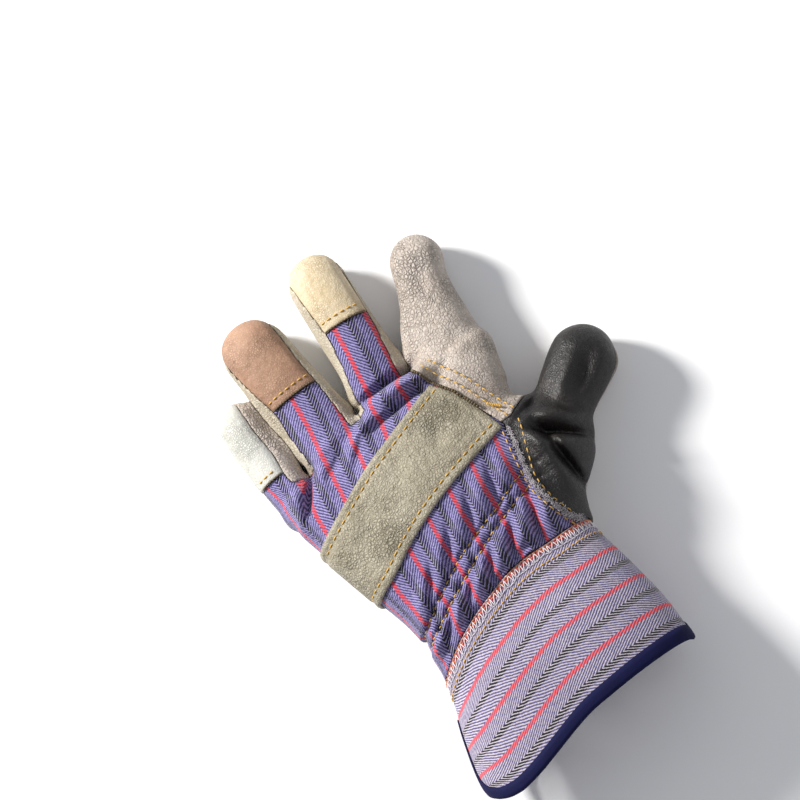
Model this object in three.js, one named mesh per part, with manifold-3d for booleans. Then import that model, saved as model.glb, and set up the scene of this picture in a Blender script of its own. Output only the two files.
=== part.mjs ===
// A rigger glove for the left hand, lying palm down. Millimetres, +Z up, fingers along +Y.
// The origin lies on the floor under the middle of the palm.

import * as THREE from 'three';
import { mergeVertices } from 'three/addons/utils/BufferGeometryUtils.js';
import Module from 'manifold-3d';

// Driving sizes of the hand
const PALM_WIDTH = 125;
const PALM_HEIGHT = 45;
const HAND_LENGTH = 120;
const CUFF_LENGTH = 69;
const CUFF_WIDTH = 125;
const CUFF_HEIGHT = 57;
const FINGER_LENGTH = 83.7;
const FINGER_WIDTH = 29.5;
const FINGER_HEIGHT = 28;

// Leather and cloth
const WALL = 1.6;
const STRAP_THICKNESS = 1.6;
const SIDE_SEAM_HEIGHT = 15;
const GAP = 0.3;

// Cuff: the tape round its edge, the open slit at its side and the leather patch under it
const TAPE_WIDTH = 6;
const TAPE_THICKNESS = 0.9;
const SLIT_LENGTH = 52;
const SLIT_HEIGHT = 24;
const SLIT_TOP_WIDTH = 5;
const SLIT_MOUTH_WIDTH = 9;
const SLIT_CORNER_RADIUS = 24;
const SLIT_DEPTH = 45;
const CORNER_STEPS = 6;
const CUFF_OVERLAP = 25;
const PATCH_SIDE = 15;
const PATCH_LENGTH = 23;
const PATCH_STITCH_LAP = 4;
const PATCH_STEPS = 6;
const PATCH_WIDTH = 80;
const PATCH_CORNER_RADIUS = 11;
const PATCH_MARGIN = 8;
const PATCH_EASE = 9;

// Mouth of the cuff: how far its under side draws in and its little finger's side hangs out
const MOUTH_DRAW_IN = 17;
const MOUTH_DRAW_START = 0.4;
const MOUTH_HANG = 7.5;
const MOUTH_HANG_SIDE = 22;
const MOUTH_HANG_WIDTH = 52;

// Folds and gathers of the back. Spans of the gathers are shares of PALM_WIDTH and HAND_LENGTH.
const FOLD_RISE = 4;
const GATHER_COUNT = 6;
const GATHER_RISE = 2.4;
const GATHER_START = -0.24;
const GATHER_SPAN = 0.8;
const GATHER_SIDE = 0.1;
const GATHER_REACH = 0.36;
const GATHER_AHEAD = 0.09;
const GATHER_LENGTH = 0.07;
const FOLD_FOOT = 0.45;
const FOLD_HEAD = 0.85;
const WELT_WIDTH = 4.5;
const WELT_HEIGHT = 9;

// How finely the tubes are cut
const HAND_SIDES = 28;
const STALL_SIDES = 14;
const HAND_RING_SPACING = 8.5;
const CUFF_RING_SPACING = 19;
const STALL_RINGS = 5;
const TIP_RINGS = 3;
const WINDOW_STEPS = 4;
const WELT_STEPS = 8;
const SEAM_STEPS = 16;
const SEAM_START = -0.62;
const SEAM_SPAN = 1.42;
const MERGE_DISTANCE = 1e-4;
const PAST_END = 10;
const SMALLEST_HALF = 0.2;

// Shape of the tubes: their roundness, the fuller under side, and the rounded ends of the stalls
const ROUNDNESS = 2.35;
const UNDER_FULLNESS = 1.12;
const ROOT_TAPER = 0.5;
const TIP_ROUNDING = 0.48;
const TIP_OPENING = 0.35;
const WINDOW_START = -0.08;
const WINDOW_END = 0.985;

// Far outside the glove, for cutting shapes
const FAR = 400;

// Sections of the hand, from the wrist seam to the knuckles.
// side and half are shares of PALM_WIDTH, ahead of HAND_LENGTH, high of PALM_HEIGHT, turn in degrees.
const HAND_SECTIONS = [
  { ahead: -0.52, side: 0.096, half: 0.418, high: 1.11, turn: 20 },
  { ahead: -0.37, side: 0.093, half: 0.404, high: 1.06, turn: 20 },
  { ahead: -0.23, side: 0.078, half: 0.410, high: 1.05, turn: 19.5 },
  { ahead: -0.09, side: 0.056, half: 0.431, high: 1.04, turn: 18.5 },
  { ahead: 0.09, side: 0.032, half: 0.465, high: 1.00, turn: 16 },
  { ahead: 0.23, side: 0.017, half: 0.491, high: 0.94, turn: 14.5 },
  { ahead: 0.37, side: 0.012, half: 0.500, high: 0.83, turn: 13 },
  { ahead: 0.455, side: 0.000, half: 0.470, high: 0.69, turn: 12.5 },
  { ahead: 0.49, side: -0.010, half: 0.420, high: 0.50, turn: 12.5 },
];

// Sections of the cuff, from the wrist seam to the mouth.
// side and half are shares of CUFF_WIDTH, back of CUFF_LENGTH, high of CUFF_HEIGHT.
const CUFF_SECTIONS = [
  { back: 1.00, side: 0.116, half: 0.500, high: 1.00, turn: 10 },
  { back: 0.72, side: 0.112, half: 0.492, high: 0.99, turn: 12.5 },
  { back: 0.40, side: 0.104, half: 0.464, high: 0.96, turn: 16 },
];

// The four finger stalls and the thumb. base is a place on the palm, lean is degrees clockwise of +Y.
// length and root are shares of FINGER_LENGTH, width of FINGER_WIDTH, height of FINGER_HEIGHT.
// In a row, along is a share of the length, side and half of the width, high of the height.
// root is how deep the stall reaches into the palm. left and right are the edges of the window cut in
// the back, as shares of the half width there, and hem is where the fingertip patch starts.
const sized = (stall) => ({
  ...stall,
  length: stall.length * FINGER_LENGTH,
  root: stall.root * FINGER_LENGTH,
  width: stall.width * FINGER_WIDTH,
  height: stall.height * FINGER_HEIGHT,
});
const LITTLE = sized({
  base: { side: -0.424, ahead: 0.317 }, lean: -6.6,
  length: 0.729, width: 0.746, height: 0.857, hem: 0.25, root: 0.143,
  sections: [
    { along: 0.00, side: 0.00, half: 0.50, high: 1.10, left: -1.6, right: 0.30 },
    { along: 0.20, side: -0.05, half: 0.48, high: 1.02, left: -1.6, right: 0.28 },
    { along: 0.45, side: -0.01, half: 0.52, high: 1.00, left: -1.6, right: 0.28 },
    { along: 0.68, side: -0.045, half: 0.475, high: 1.00, left: -1.6, right: 0.33 },
    { along: 0.88, side: -0.015, half: 0.45, high: 0.94, left: -1.6, right: 0.36 },
    { along: 1.00, side: 0.00, half: 0.42, high: 0.88, left: -1.6, right: 0.34 },
  ],
});
const RING = sized({
  base: { side: -0.208, ahead: 0.433 }, lean: -7.9,
  length: 0.937, width: 1.136, height: 1.0, hem: 0.40, root: 0.143,
  sections: [
    { along: 0.00, side: 0.02, half: 0.50, high: 1.10, left: -0.84, right: 0.70 },
    { along: 0.20, side: 0.02, half: 0.51, high: 1.02, left: -0.82, right: 0.70 },
    { along: 0.38, side: 0.01, half: 0.51, high: 0.97, left: -0.73, right: 0.73 },
    { along: 0.55, side: -0.015, half: 0.50, high: 0.98, left: -0.80, right: 0.76 },
    { along: 0.75, side: -0.024, half: 0.49, high: 0.96, left: -0.88, right: 0.80 },
    { along: 1.00, side: -0.036, half: 0.46, high: 0.90, left: -0.90, right: 0.84 },
  ],
});
const MIDDLE = sized({
  base: { side: 0.072, ahead: 0.483 }, lean: -1.4,
  length: 1.0, width: 1.0, height: 1.0, hem: 0.525, root: 0.143,
  sections: [
    { along: 0.00, side: 0.00, half: 0.52, high: 1.05, left: -0.84, right: 0.64 },
    { along: 0.14, side: -0.02, half: 0.535, high: 0.97, left: -0.82, right: 0.66 },
    { along: 0.29, side: 0.00, half: 0.51, high: 1.00, left: -0.76, right: 0.74 },
    { along: 0.50, side: -0.012, half: 0.497, high: 0.98, left: -0.66, right: 0.88 },
    { along: 0.72, side: -0.02, half: 0.49, high: 0.98, left: -0.72, right: 0.90 },
    { along: 1.00, side: -0.017, half: 0.47, high: 0.90, left: -0.86, right: 0.88 },
  ],
});
const INDEX = sized({
  base: { side: 0.352, ahead: 0.40 }, lean: 8,
  length: 0.944, width: 0.915, height: 1.036, root: 0.143,
  sections: [
    { along: 0.00, side: -0.10, half: 0.72, high: 1.14 },
    { along: 0.25, side: -0.107, half: 0.711, high: 1.03 },
    { along: 0.43, side: -0.115, half: 0.637, high: 1.00 },
    { along: 0.57, side: -0.074, half: 0.53, high: 0.97 },
    { along: 0.70, side: -0.048, half: 0.474, high: 0.95 },
    { along: 0.82, side: 0.00, half: 0.485, high: 0.93 },
    { along: 1.00, side: 0.01, half: 0.44, high: 0.86 },
  ],
});
const THUMB = sized({
  base: { side: 0.362, ahead: -0.065 }, lean: 56,
  length: 0.968, width: 1.051, height: 1.143, root: 0.143,
  sections: [
    { along: 0.00, side: 0.10, half: 0.60, high: 1.16 },
    { along: 0.27, side: 0.10, half: 0.645, high: 1.20 },
    { along: 0.38, side: 0.04, half: 0.56, high: 1.00 },
    { along: 0.48, side: 0.026, half: 0.47, high: 0.94 },
    { along: 0.60, side: -0.006, half: 0.485, high: 0.98 },
    { along: 0.73, side: -0.026, half: 0.52, high: 0.97 },
    { along: 1.00, side: -0.06, half: 0.47, high: 0.88 },
  ],
});

// The ball of the thumb beside the palm, a bulge along +Y
const BALL = sized({
  base: { side: 0.352, ahead: -0.40 }, lean: 0,
  length: 0.908, width: 2.542, height: 1.429, root: 0.0,
  sections: [
    { along: 0.00, side: 0.00, half: 0.20, high: 0.90 },
    { along: 0.13, side: 0.00, half: 0.225, high: 0.96 },
    { along: 0.26, side: 0.00, half: 0.285, high: 1.00 },
    { along: 0.36, side: 0.00, half: 0.355, high: 1.00 },
    { along: 0.47, side: 0.00, half: 0.455, high: 0.98 },
    { along: 0.58, side: 0.00, half: 0.490, high: 0.97 },
    { along: 0.68, side: 0.00, half: 0.450, high: 0.97 },
    { along: 0.82, side: 0.00, half: 0.350, high: 0.95 },
    { along: 1.00, side: 0.00, half: 0.260, high: 0.90 },
  ],
});
const STALLS = [LITTLE, RING, MIDDLE, INDEX, THUMB, BALL];

// Folds and creases of the back. side, long and wide are shares of PALM_WIDTH, ahead of HAND_LENGTH,
// rise of FOLD_RISE. The crest runs at turn degrees from +X.
const FOLDS = [
  { side: 0.09, ahead: 0.475, turn: 14, long: 0.13, wide: 0.045, rise: 1.10 },
  { side: -0.12, ahead: 0.40, turn: 38, long: 0.09, wide: 0.045, rise: 0.50 },
  { side: 0.10, ahead: 0.545, turn: 8, long: 0.12, wide: 0.025, rise: -0.80 },
  { side: 0.12, ahead: -0.235, turn: 27, long: 0.42, wide: 0.045, rise: -0.65 },
  { side: -0.30, ahead: 0.36, turn: 70, long: 0.12, wide: 0.035, rise: -0.45 },
  { side: 0.11, ahead: 0.25, turn: 60, long: 0.07, wide: 0.05, rise: -0.45 },
  { side: 0.545, ahead: 0.075, turn: -42, long: 0.10, wide: 0.030, rise: -1.20 },
  { side: 0.585, ahead: 0.125, turn: -38, long: 0.11, wide: 0.035, rise: 0.90 },
  { side: 0.52, ahead: -0.03, turn: -50, long: 0.10, wide: 0.040, rise: 0.70 },
  { side: 0.70, ahead: 0.22, turn: 34, long: 0.10, wide: 0.035, rise: 0.35 },
];

// Places on the palm: side is a share of PALM_WIDTH, ahead of HAND_LENGTH
const WRIST_SEAM = [
  { side: -0.60, ahead: -0.79 }, { side: -0.30, ahead: -0.65 }, { side: -0.16, ahead: -0.555 },
  { side: 0.00, ahead: -0.475 }, { side: 0.11, ahead: -0.430 }, { side: 0.22, ahead: -0.405 },
  { side: 0.33, ahead: -0.395 }, { side: 0.48, ahead: -0.365 }, { side: 0.75, ahead: -0.33 },
];
const THUMB_SEAM = [
  { side: 0.472, ahead: -0.40 }, { side: 0.44, ahead: -0.354 }, { side: 0.40, ahead: -0.267 },
  { side: 0.38, ahead: -0.183 }, { side: 0.38, ahead: -0.07 }, { side: 0.398, ahead: 0.119 },
];
const INDEX_HEM = [
  { side: 0.398, ahead: 0.119 }, { side: 0.346, ahead: 0.227 }, { side: 0.294, ahead: 0.342 },
  { side: 0.24, ahead: 0.43 }, { side: 0.20, ahead: 0.50 }, { side: 0.192, ahead: 0.565 },
];
const KNUCKLE_LINE = [
  { side: -0.072, ahead: 0.47 }, { side: -0.36, ahead: 0.385 }, { side: -0.80, ahead: 0.385 },
];
const THUMB_OUTLINE = [
  { side: 0.36, ahead: 0.125 }, { side: 0.36, ahead: -0.50 }, { side: 1.20, ahead: -0.50 },
  { side: 1.20, ahead: 0.60 }, { side: 0.66, ahead: 0.34 }, { side: 0.505, ahead: 0.195 },
  { side: 0.44, ahead: 0.14 },
];
const STRAP_BACK_EDGE = [
  { side: -0.80, ahead: -0.40 }, { side: -0.36, ahead: -0.235 }, { side: -0.264, ahead: -0.198 },
  { side: -0.16, ahead: -0.135 }, { side: -0.054, ahead: -0.074 }, { side: 0.08, ahead: -0.01 },
  { side: 0.214, ahead: 0.044 }, { side: 0.388, ahead: 0.110 },
];
const STRAP_FRONT_EDGE = [
  { side: 0.228, ahead: 0.425 }, { side: 0.026, ahead: 0.331 }, { side: -0.12, ahead: 0.264 },
  { side: -0.304, ahead: 0.161 }, { side: -0.464, ahead: 0.075 }, { side: -0.80, ahead: -0.06 },
];
const WELT_LINE = [
  { side: 0.205, ahead: 0.55 }, { side: 0.10, ahead: 0.475 }, { side: -0.06, ahead: 0.41 },
  { side: -0.22, ahead: 0.37 }, { side: -0.372, ahead: 0.37 },
];

// Colours, roughness and metalness
const MATERIALS = {
  cream_leather: { color: 0xc4b9aa, roughness: 0.62 },
  tan_leather: { color: 0xb59c7c, roughness: 0.6 },
  strap_leather: { color: 0xa8a08a, roughness: 0.65 },
  thumb_leather: { color: 0x2a2725, roughness: 0.42 },
  ivory_leather: { color: 0xe3d3b5, roughness: 0.55 },
  brown_leather: { color: 0xb08d74, roughness: 0.6 },
  white_leather: { color: 0xdcddd0, roughness: 0.55 },
  welt_suede: { color: 0x969ba5, roughness: 0.9 },
  back_cotton: { color: 0x46467d, roughness: 0.9 },
  cuff_cotton: { color: 0x8c89b4, roughness: 0.9 },
  navy_tape: { color: 0x232655, roughness: 0.85 },
};

const wasm = await Module();
wasm.setup();

// Closed geometry to a solid, with the vertices that share a place merged
function solidOf(geometry) {
  geometry.deleteAttribute('normal');
  geometry.deleteAttribute('uv');
  const merged = mergeVertices(geometry, MERGE_DISTANCE);
  return new wasm.Manifold(new wasm.Mesh({
    numProp: 3,
    vertProperties: new Float32Array(merged.attributes.position.array),
    triVerts: new Uint32Array(merged.index.array),
  }));
}

const placeOnPalm = ({ side, ahead }) => new THREE.Vector2(side * PALM_WIDTH, ahead * HAND_LENGTH);
const signedPower = (value, power) => Math.sign(value) * Math.abs(value) ** power;
const bell = (value) => Math.exp(-value * value);

// A smooth reading of a table: the columns' values at any place along it
function tableReader(rows, key, columns) {
  const places = rows.map((row) => row[key]);
  const values = rows.flatMap((row) => columns.map((column) => row[column]));
  const interpolant = new THREE.CubicInterpolant(places, values, columns.length);
  return (place) => {
    const found = interpolant.evaluate(place);
    return Object.fromEntries(columns.map((column, index) => [column, found[index]]));
  };
}

// A line on the palm as a smooth curve: how far ahead it lies at each x
function lineReader(rows) {
  const points = rows.map(placeOnPalm).sort((one, other) => one.x - other.x);
  const reader = tableReader(points, 'x', ['y']);
  return (x) => reader(x).y;
}
const wristSeamAt = lineReader(WRIST_SEAM);

// Rise of the folds and of the gathers between the elastic and the wrist seam
function foldRise(x, y) {
  let rise = 0;
  for (const fold of FOLDS) {
    const centre = placeOnPalm(fold);
    const turn = THREE.MathUtils.degToRad(fold.turn);
    const along = (x - centre.x) * Math.cos(turn) + (y - centre.y) * Math.sin(turn);
    const across = (y - centre.y) * Math.cos(turn) - (x - centre.x) * Math.sin(turn);
    const reach = bell(along / (fold.long * PALM_WIDTH)) * bell(across / (fold.wide * PALM_WIDTH));
    rise += fold.rise * FOLD_RISE * reach;
  }
  const across = x / PALM_WIDTH;
  const behind = (y - wristSeamAt(x)) / HAND_LENGTH;
  const wave = Math.cos(2 * Math.PI * (across - GATHER_START) * GATHER_COUNT / GATHER_SPAN);
  const inside = bell((across - GATHER_SIDE) / GATHER_REACH);
  return rise + GATHER_RISE * wave * inside * bell((behind - GATHER_AHEAD) / GATHER_LENGTH);
}

// How far the cuff's edge strays from a straight cut, all of it at the mouth and none at the wrist
function mouthShift(back, x, z) {
  const under = THREE.MathUtils.smoothstep(1 - z / CUFF_HEIGHT, MOUTH_DRAW_START, 1);
  const hang = THREE.MathUtils.smoothstep(MOUTH_HANG_SIDE - x, 0, MOUTH_HANG_WIDTH);
  return THREE.MathUtils.smoothstep(back, 0, 1) * (MOUTH_DRAW_IN * under - MOUTH_HANG * hang);
}

// A ring of a tube lying on the floor: a superellipse, flat where it rests
function ringPoints(station, grow, floorAt, sides) {
  const turn = THREE.MathUtils.degToRad(station.turn);
  const half = Math.max(station.half + grow, SMALLEST_HALF) * (station.close ?? 1);
  const middle = station.high / 2;
  const upper = (station.high / 2 + grow) * (station.close ?? 1);
  const points = [];
  for (let index = 0; index < sides; index += 1) {
    const angle = 2 * Math.PI * index / sides;
    const across = half * signedPower(Math.cos(angle), 2 / ROUNDNESS);
    const fullness = angle > Math.PI ? UNDER_FULLNESS : 1;
    const lift = upper * signedPower(Math.sin(angle), 2 / ROUNDNESS) * fullness;
    const x = station.x + across * Math.cos(turn);
    const y = station.y + across * Math.sin(turn) + mouthShift(station.back ?? 0, x, middle + lift);
    const share = THREE.MathUtils.smoothstep((middle + lift) / station.high, FOLD_FOOT, FOLD_HEAD);
    const z = Math.max(middle + lift + share * foldRise(x, y), floorAt(x, y));
    points.push(new THREE.Vector3(x, y, z));
  }
  return points;
}

// A closed tube through rings, each end closed by a fan to its middle
function tube(stations, grow, sides, liftAt = () => 0) {
  const floorAt = (x, y) => Math.max(0, -grow) + liftAt(x, y);
  const rings = stations.map((station) => ringPoints(station, grow, floorAt, sides));
  const centre = (ring) => ring.reduce((sum, point) => sum.add(point), new THREE.Vector3())
    .divideScalar(ring.length);
  const points = [...rings.flat(), centre(rings[0]), centre(rings.at(-1))];
  const firstCentre = rings.length * sides;
  const faces = [];
  for (let side = 0; side < sides; side += 1) {
    const next = (side + 1) % sides;
    for (let ring = 0; ring + 1 < rings.length; ring += 1) {
      const near = ring * sides;
      const far = near + sides;
      faces.push(near + side, far + side, near + next, near + next, far + side, far + next);
    }
    const last = (rings.length - 1) * sides;
    faces.push(firstCentre, side, next);
    faces.push(firstCentre + 1, last + next, last + side);
  }
  const geometry = new THREE.BufferGeometry().setFromPoints(points);
  geometry.setIndex(faces);
  return solidOf(geometry);
}

// Rings of the hand and the cuff as one long tube, from the mouth to the knuckles
const CUFF_TOP_Y = HAND_SECTIONS[0].ahead * HAND_LENGTH;
const MOUTH_Y = CUFF_TOP_Y - CUFF_LENGTH;
const KNUCKLE_Y = HAND_SECTIONS.at(-1).ahead * HAND_LENGTH;
const bodyRows = [
  ...CUFF_SECTIONS.map((row) => ({
    y: CUFF_TOP_Y - row.back * CUFF_LENGTH, x: row.side * CUFF_WIDTH,
    half: row.half * CUFF_WIDTH, high: row.high * CUFF_HEIGHT, turn: row.turn,
  })),
  ...HAND_SECTIONS.map((row) => ({
    y: row.ahead * HAND_LENGTH, x: row.side * PALM_WIDTH,
    half: row.half * PALM_WIDTH, high: row.high * PALM_HEIGHT, turn: row.turn,
  })),
];
const bodyReader = tableReader(bodyRows, 'y', ['x', 'half', 'high', 'turn']);
function bodyStations(from, to, spacing) {
  const count = Math.max(1, Math.round((to - from) / spacing));
  return Array.from({ length: count + 1 }, (_, index) => {
    const y = from + (to - from) * index / count;
    const back = THREE.MathUtils.clamp((CUFF_TOP_Y - y) / CUFF_LENGTH, 0, 1);
    return { y, back, ...bodyReader(Math.max(y, MOUTH_Y)) };
  });
}
function bodyTube(grow, past = 0) {
  const wristY = wristSeamAt(0) - 2 * HAND_RING_SPACING;
  return tube([
    ...bodyStations(MOUTH_Y - past, wristY, CUFF_RING_SPACING).slice(0, -1),
    ...bodyStations(wristY, KNUCKLE_Y + Math.min(grow, 0), HAND_RING_SPACING),
  ], grow, HAND_SIDES);
}

// Rings of a stall, its rounded tip a half ellipse; a row's own frame is along and across its lean
function stallFrame(stall) {
  const lean = THREE.MathUtils.degToRad(stall.lean);
  const base = placeOnPalm(stall.base);
  const along = new THREE.Vector2(Math.sin(lean), Math.cos(lean));
  const across = new THREE.Vector2(Math.cos(lean), -Math.sin(lean));
  const place = (a, c) => base.clone().addScaledVector(along, a).addScaledVector(across, c);
  return { place, turn: -stall.lean, read: tableReader(stall.sections, 'along', ['side', 'half', 'high']) };
}
function stallStations(stall, grow) {
  const frame = stallFrame(stall);
  const round = Math.min(stall.width, stall.length) * TIP_ROUNDING;
  const straight = stall.length - round;
  const station = (distance, close) => {
    const row = frame.read(THREE.MathUtils.clamp(distance / stall.length, 0, 1));
    const centre = frame.place(distance, row.side * stall.width);
    return { x: centre.x, y: centre.y, turn: frame.turn, half: row.half * stall.width,
      high: row.high * stall.height, close };
  };
  const stations = [];
  for (let index = 0; index < STALL_RINGS; index += 1) {
    const distance = -stall.root + (straight + stall.root) * index / (STALL_RINGS - 1);
    stations.push(station(distance, index === 0 ? ROOT_TAPER : 1));
  }
  for (let index = 1; index <= TIP_RINGS; index += 1) {
    const angle = Math.PI / 2 * index / (TIP_RINGS + TIP_OPENING);
    stations.push(station(straight + (round + grow) * Math.sin(angle), Math.cos(angle)));
  }
  return stations;
}
const stallTube = (stall, grow) => tube(stallStations(stall, grow), grow, STALL_SIDES);

// The whole hand form, grown or shrunk
const handForm = (grow, past) => STALLS.reduce(
  (form, stall) => form.add(stallTube(stall, grow)), bodyTube(grow, past));

// An upright block over an anticlockwise outline, with its sides and ends moved out by clear
function block(points, low, high, clear = 0) {
  const unit = (from, to) => to.clone().sub(from).normalize();
  const outline = points.map((point, index) => {
    const inwards = unit(points.at(index - 1), point);
    const outwards = unit(point, points[(index + 1) % points.length]);
    const before = new THREE.Vector2(inwards.y, -inwards.x);
    const after = new THREE.Vector2(outwards.y, -outwards.x);
    const spread = clear / (1 + before.dot(after));
    return point.clone().add(before.add(after).multiplyScalar(spread));
  });
  const depth = high - low + 2 * clear;
  const geometry = new THREE.ExtrudeGeometry(new THREE.Shape(outline), { depth, bevelEnabled: false });
  return solidOf(geometry.translate(0, 0, low - clear));
}

// Everything ahead of a line across the palm, or all behind it
function aheadOf(lineAt, low, high, clear = 0) {
  const edge = Array.from({ length: SEAM_STEPS + 1 }, (_, index) => {
    const x = PALM_WIDTH * (SEAM_START + SEAM_SPAN * index / SEAM_STEPS);
    return new THREE.Vector2(x, lineAt(x));
  });
  const right = new THREE.Vector2(FAR, edge.at(-1).y);
  const left = new THREE.Vector2(-FAR, edge[0].y);
  return block([left, ...edge, right, new THREE.Vector2(FAR, FAR), new THREE.Vector2(-FAR, FAR)],
    low, high, clear);
}

// The window in the back of a finger: cloth, and above the hem the fingertip patch
function stallWindow(stall, fromShare, clear) {
  const frame = stallFrame(stall);
  const read = tableReader(stall.sections, 'along', ['side', 'half', 'left', 'right']);
  const edge = (column) => Array.from({ length: WINDOW_STEPS + 1 }, (_, index) => {
    const share = fromShare + (WINDOW_END - fromShare) * index / WINDOW_STEPS;
    const row = read(Math.max(share, 0));
    const toTip = Math.min(1, (1 - share) * stall.length / (stall.width / 2));
    const close = Math.sqrt(1 - (1 - toTip) ** 2);
    const across = (row.side + row.half * row[column] * close) * stall.width;
    return frame.place(share * stall.length, across);
  });
  return block([...edge('right'), ...edge('left').reverse()], SIDE_SEAM_HEIGHT, FAR, clear);
}

// Regions of the hand form, each of which may be grown to leave a gap
const clothOutline = [
  { side: -0.80, ahead: -1.20 }, { side: 0.472, ahead: -1.20 },
  ...THUMB_SEAM, ...INDEX_HEM.slice(1), ...KNUCKLE_LINE,
].map(placeOnPalm);
const clothRegion = (clear) => [LITTLE, RING, MIDDLE].reduce(
  (region, stall) => region.add(stallWindow(stall, WINDOW_START, clear)),
  block(clothOutline, SIDE_SEAM_HEIGHT, FAR, clear));
const tipRegion = (stall) => (clear) => stallWindow(stall, stall.hem, clear);
const thumbRegion = (clear) => block(THUMB_OUTLINE.map(placeOnPalm), SIDE_SEAM_HEIGHT, FAR, clear);
const weltAt = lineReader(WELT_LINE);
function weltRegion(clear) {
  const [right, left] = [WELT_LINE[0], WELT_LINE.at(-1)].map((row) => placeOnPalm(row).x);
  const edge = (shift) => Array.from({ length: WELT_STEPS + 1 }, (_, index) => {
    const x = left + (right - left) * index / WELT_STEPS;
    return new THREE.Vector2(x, weltAt(x) + shift);
  });
  const outline = [...edge(-WELT_WIDTH / 2), ...edge(WELT_WIDTH / 2).reverse()];
  return block(outline, -GAP, WELT_HEIGHT, clear);
}
const frontRegion = (stall, neighbour) => (clear) => stallTube(stall, WALL + clear)
  .intersect(aheadOf((x) => weltAt(x) + WELT_WIDTH / 2, -FAR, FAR, clear))
  .subtract(stallTube(neighbour, -clear));

// The slit of the cuff at the little finger's side, its corners rounded where they meet the mouth
const mouth = bodyReader(MOUTH_Y);
const mouthTurn = THREE.MathUtils.degToRad(mouth.turn);
const mouthLeft = mouth.x - mouth.half * Math.cos(mouthTurn);
const slitEnd = MOUTH_Y - mouth.half * Math.sin(mouthTurn) + mouthShift(1, mouthLeft, SLIT_HEIGHT);
function slitBlock(clear) {
  const innerEnd = slitEnd + SLIT_LENGTH;
  const corner = slitEnd + SLIT_CORNER_RADIUS;
  const halfTop = SLIT_TOP_WIDTH / 2;
  const halfMouth = SLIT_MOUTH_WIDTH / 2;
  const arc = Array.from({ length: CORNER_STEPS + 1 }, (_, index) => {
    const angle = Math.PI / 2 * index / CORNER_STEPS;
    return [corner - SLIT_CORNER_RADIUS * Math.sin(angle),
      halfMouth + SLIT_CORNER_RADIUS * (1 - Math.cos(angle))];
  });
  const side = [[innerEnd, halfTop / 2], [innerEnd - halfTop, halfTop], ...arc,
    [slitEnd - SLIT_LENGTH, halfMouth + SLIT_CORNER_RADIUS]];
  const outline = [...side.map(([y, z]) => new THREE.Vector2(y, -z)),
    ...side.reverse().map(([y, z]) => new THREE.Vector2(y, z))];
  return block(outline.reverse(), 0, FAR, clear)
    .rotate([90, 0, 90])
    .translate([mouthLeft + SLIT_DEPTH - FAR, 0, SLIT_HEIGHT]);
}

// The floor of the cuff is lifted where the leather patch lies under it
function patchLift(x, y) {
  const outside = Math.max(Math.abs(x - PATCH_SIDE) - PATCH_WIDTH / 2 - PATCH_MARGIN,
    wristSeamAt(x) - PATCH_LENGTH - PATCH_MARGIN - y, 0);
  const share = 1 - THREE.MathUtils.smoothstep(outside, 0, PATCH_EASE);
  return (WALL + GAP) * share;
}
function cuffTube(grow, past = 0) {
  const top = wristSeamAt(PALM_WIDTH / 2) + CUFF_OVERLAP;
  return tube(bodyStations(MOUTH_Y - past, top, CUFF_RING_SPACING), grow, HAND_SIDES, patchLift);
}
function patchBlock() {
  const left = PATCH_SIDE - PATCH_WIDTH / 2;
  const right = PATCH_SIDE + PATCH_WIDTH / 2;
  const edge = (steps, shiftAt) => Array.from({ length: steps + 1 }, (_, index) => {
    const x = left + PATCH_WIDTH * index / steps;
    return new THREE.Vector2(x, wristSeamAt(x) + shiftAt(x));
  });
  const backEdge = edge(3 * PATCH_STEPS, (x) => {
    const inset = Math.min(1, Math.min(x - left, right - x) / PATCH_CORNER_RADIUS);
    return PATCH_CORNER_RADIUS * (1 - Math.sqrt(1 - (1 - inset) ** 2)) - PATCH_LENGTH;
  });
  return block([...backEdge, ...edge(PATCH_STEPS, () => PATCH_STITCH_LAP).reverse()], -WALL, WALL);
}

// Cuts: each piece is taken from what is left of the shell, and the rest keeps the gap
const shell = handForm(0).subtract(handForm(-WALL, PAST_END));
let rest = shell.intersect(aheadOf(wristSeamAt, -FAR, FAR));
function take(region) {
  const piece = rest.intersect(region(0));
  rest = rest.subtract(region(GAP));
  return piece;
}
const middleFingertip = take(tipRegion(MIDDLE));
const ringFingertip = take(tipRegion(RING));
const littleFingertip = take(tipRegion(LITTLE));
const backCloth = take(clothRegion);
const thumbBack = take(thumbRegion);
const fingerWelt = take(weltRegion);
const middleFront = take(frontRegion(MIDDLE, INDEX));
const ringFront = take(frontRegion(RING, LITTLE));
const patch = shell.intersect(patchBlock());
const palmLeather = rest.add(patch);

const strapOutline = [...STRAP_BACK_EDGE, ...INDEX_HEM.slice(1, 3), ...STRAP_FRONT_EDGE].map(placeOnPalm);
const strapRegion = block(strapOutline, SIDE_SEAM_HEIGHT, FAR);
const knuckleStrap = handForm(GAP + STRAP_THICKNESS).subtract(handForm(GAP)).intersect(strapRegion);

const tapeGrow = GAP + TAPE_THICKNESS;
const cuff = cuffTube(0).subtract(cuffTube(-WALL, PAST_END))
  .subtract(aheadOf(wristSeamAt, -FAR, FAR, GAP))
  .subtract(slitBlock(0));
const clothSpace = cuffTube(GAP, GAP)
  .subtract(cuffTube(-WALL - GAP, PAST_END))
  .subtract(slitBlock(-GAP));
const aheadOfTape = cuffTube(2 * tapeGrow, -TAPE_WIDTH).subtract(slitBlock(TAPE_WIDTH));
const cuffBinding = cuffTube(tapeGrow, tapeGrow)
  .subtract(cuffTube(-WALL - tapeGrow, PAST_END))
  .subtract(clothSpace)
  .subtract(aheadOfTape)
  .subtract(slitBlock(-tapeGrow));

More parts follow.
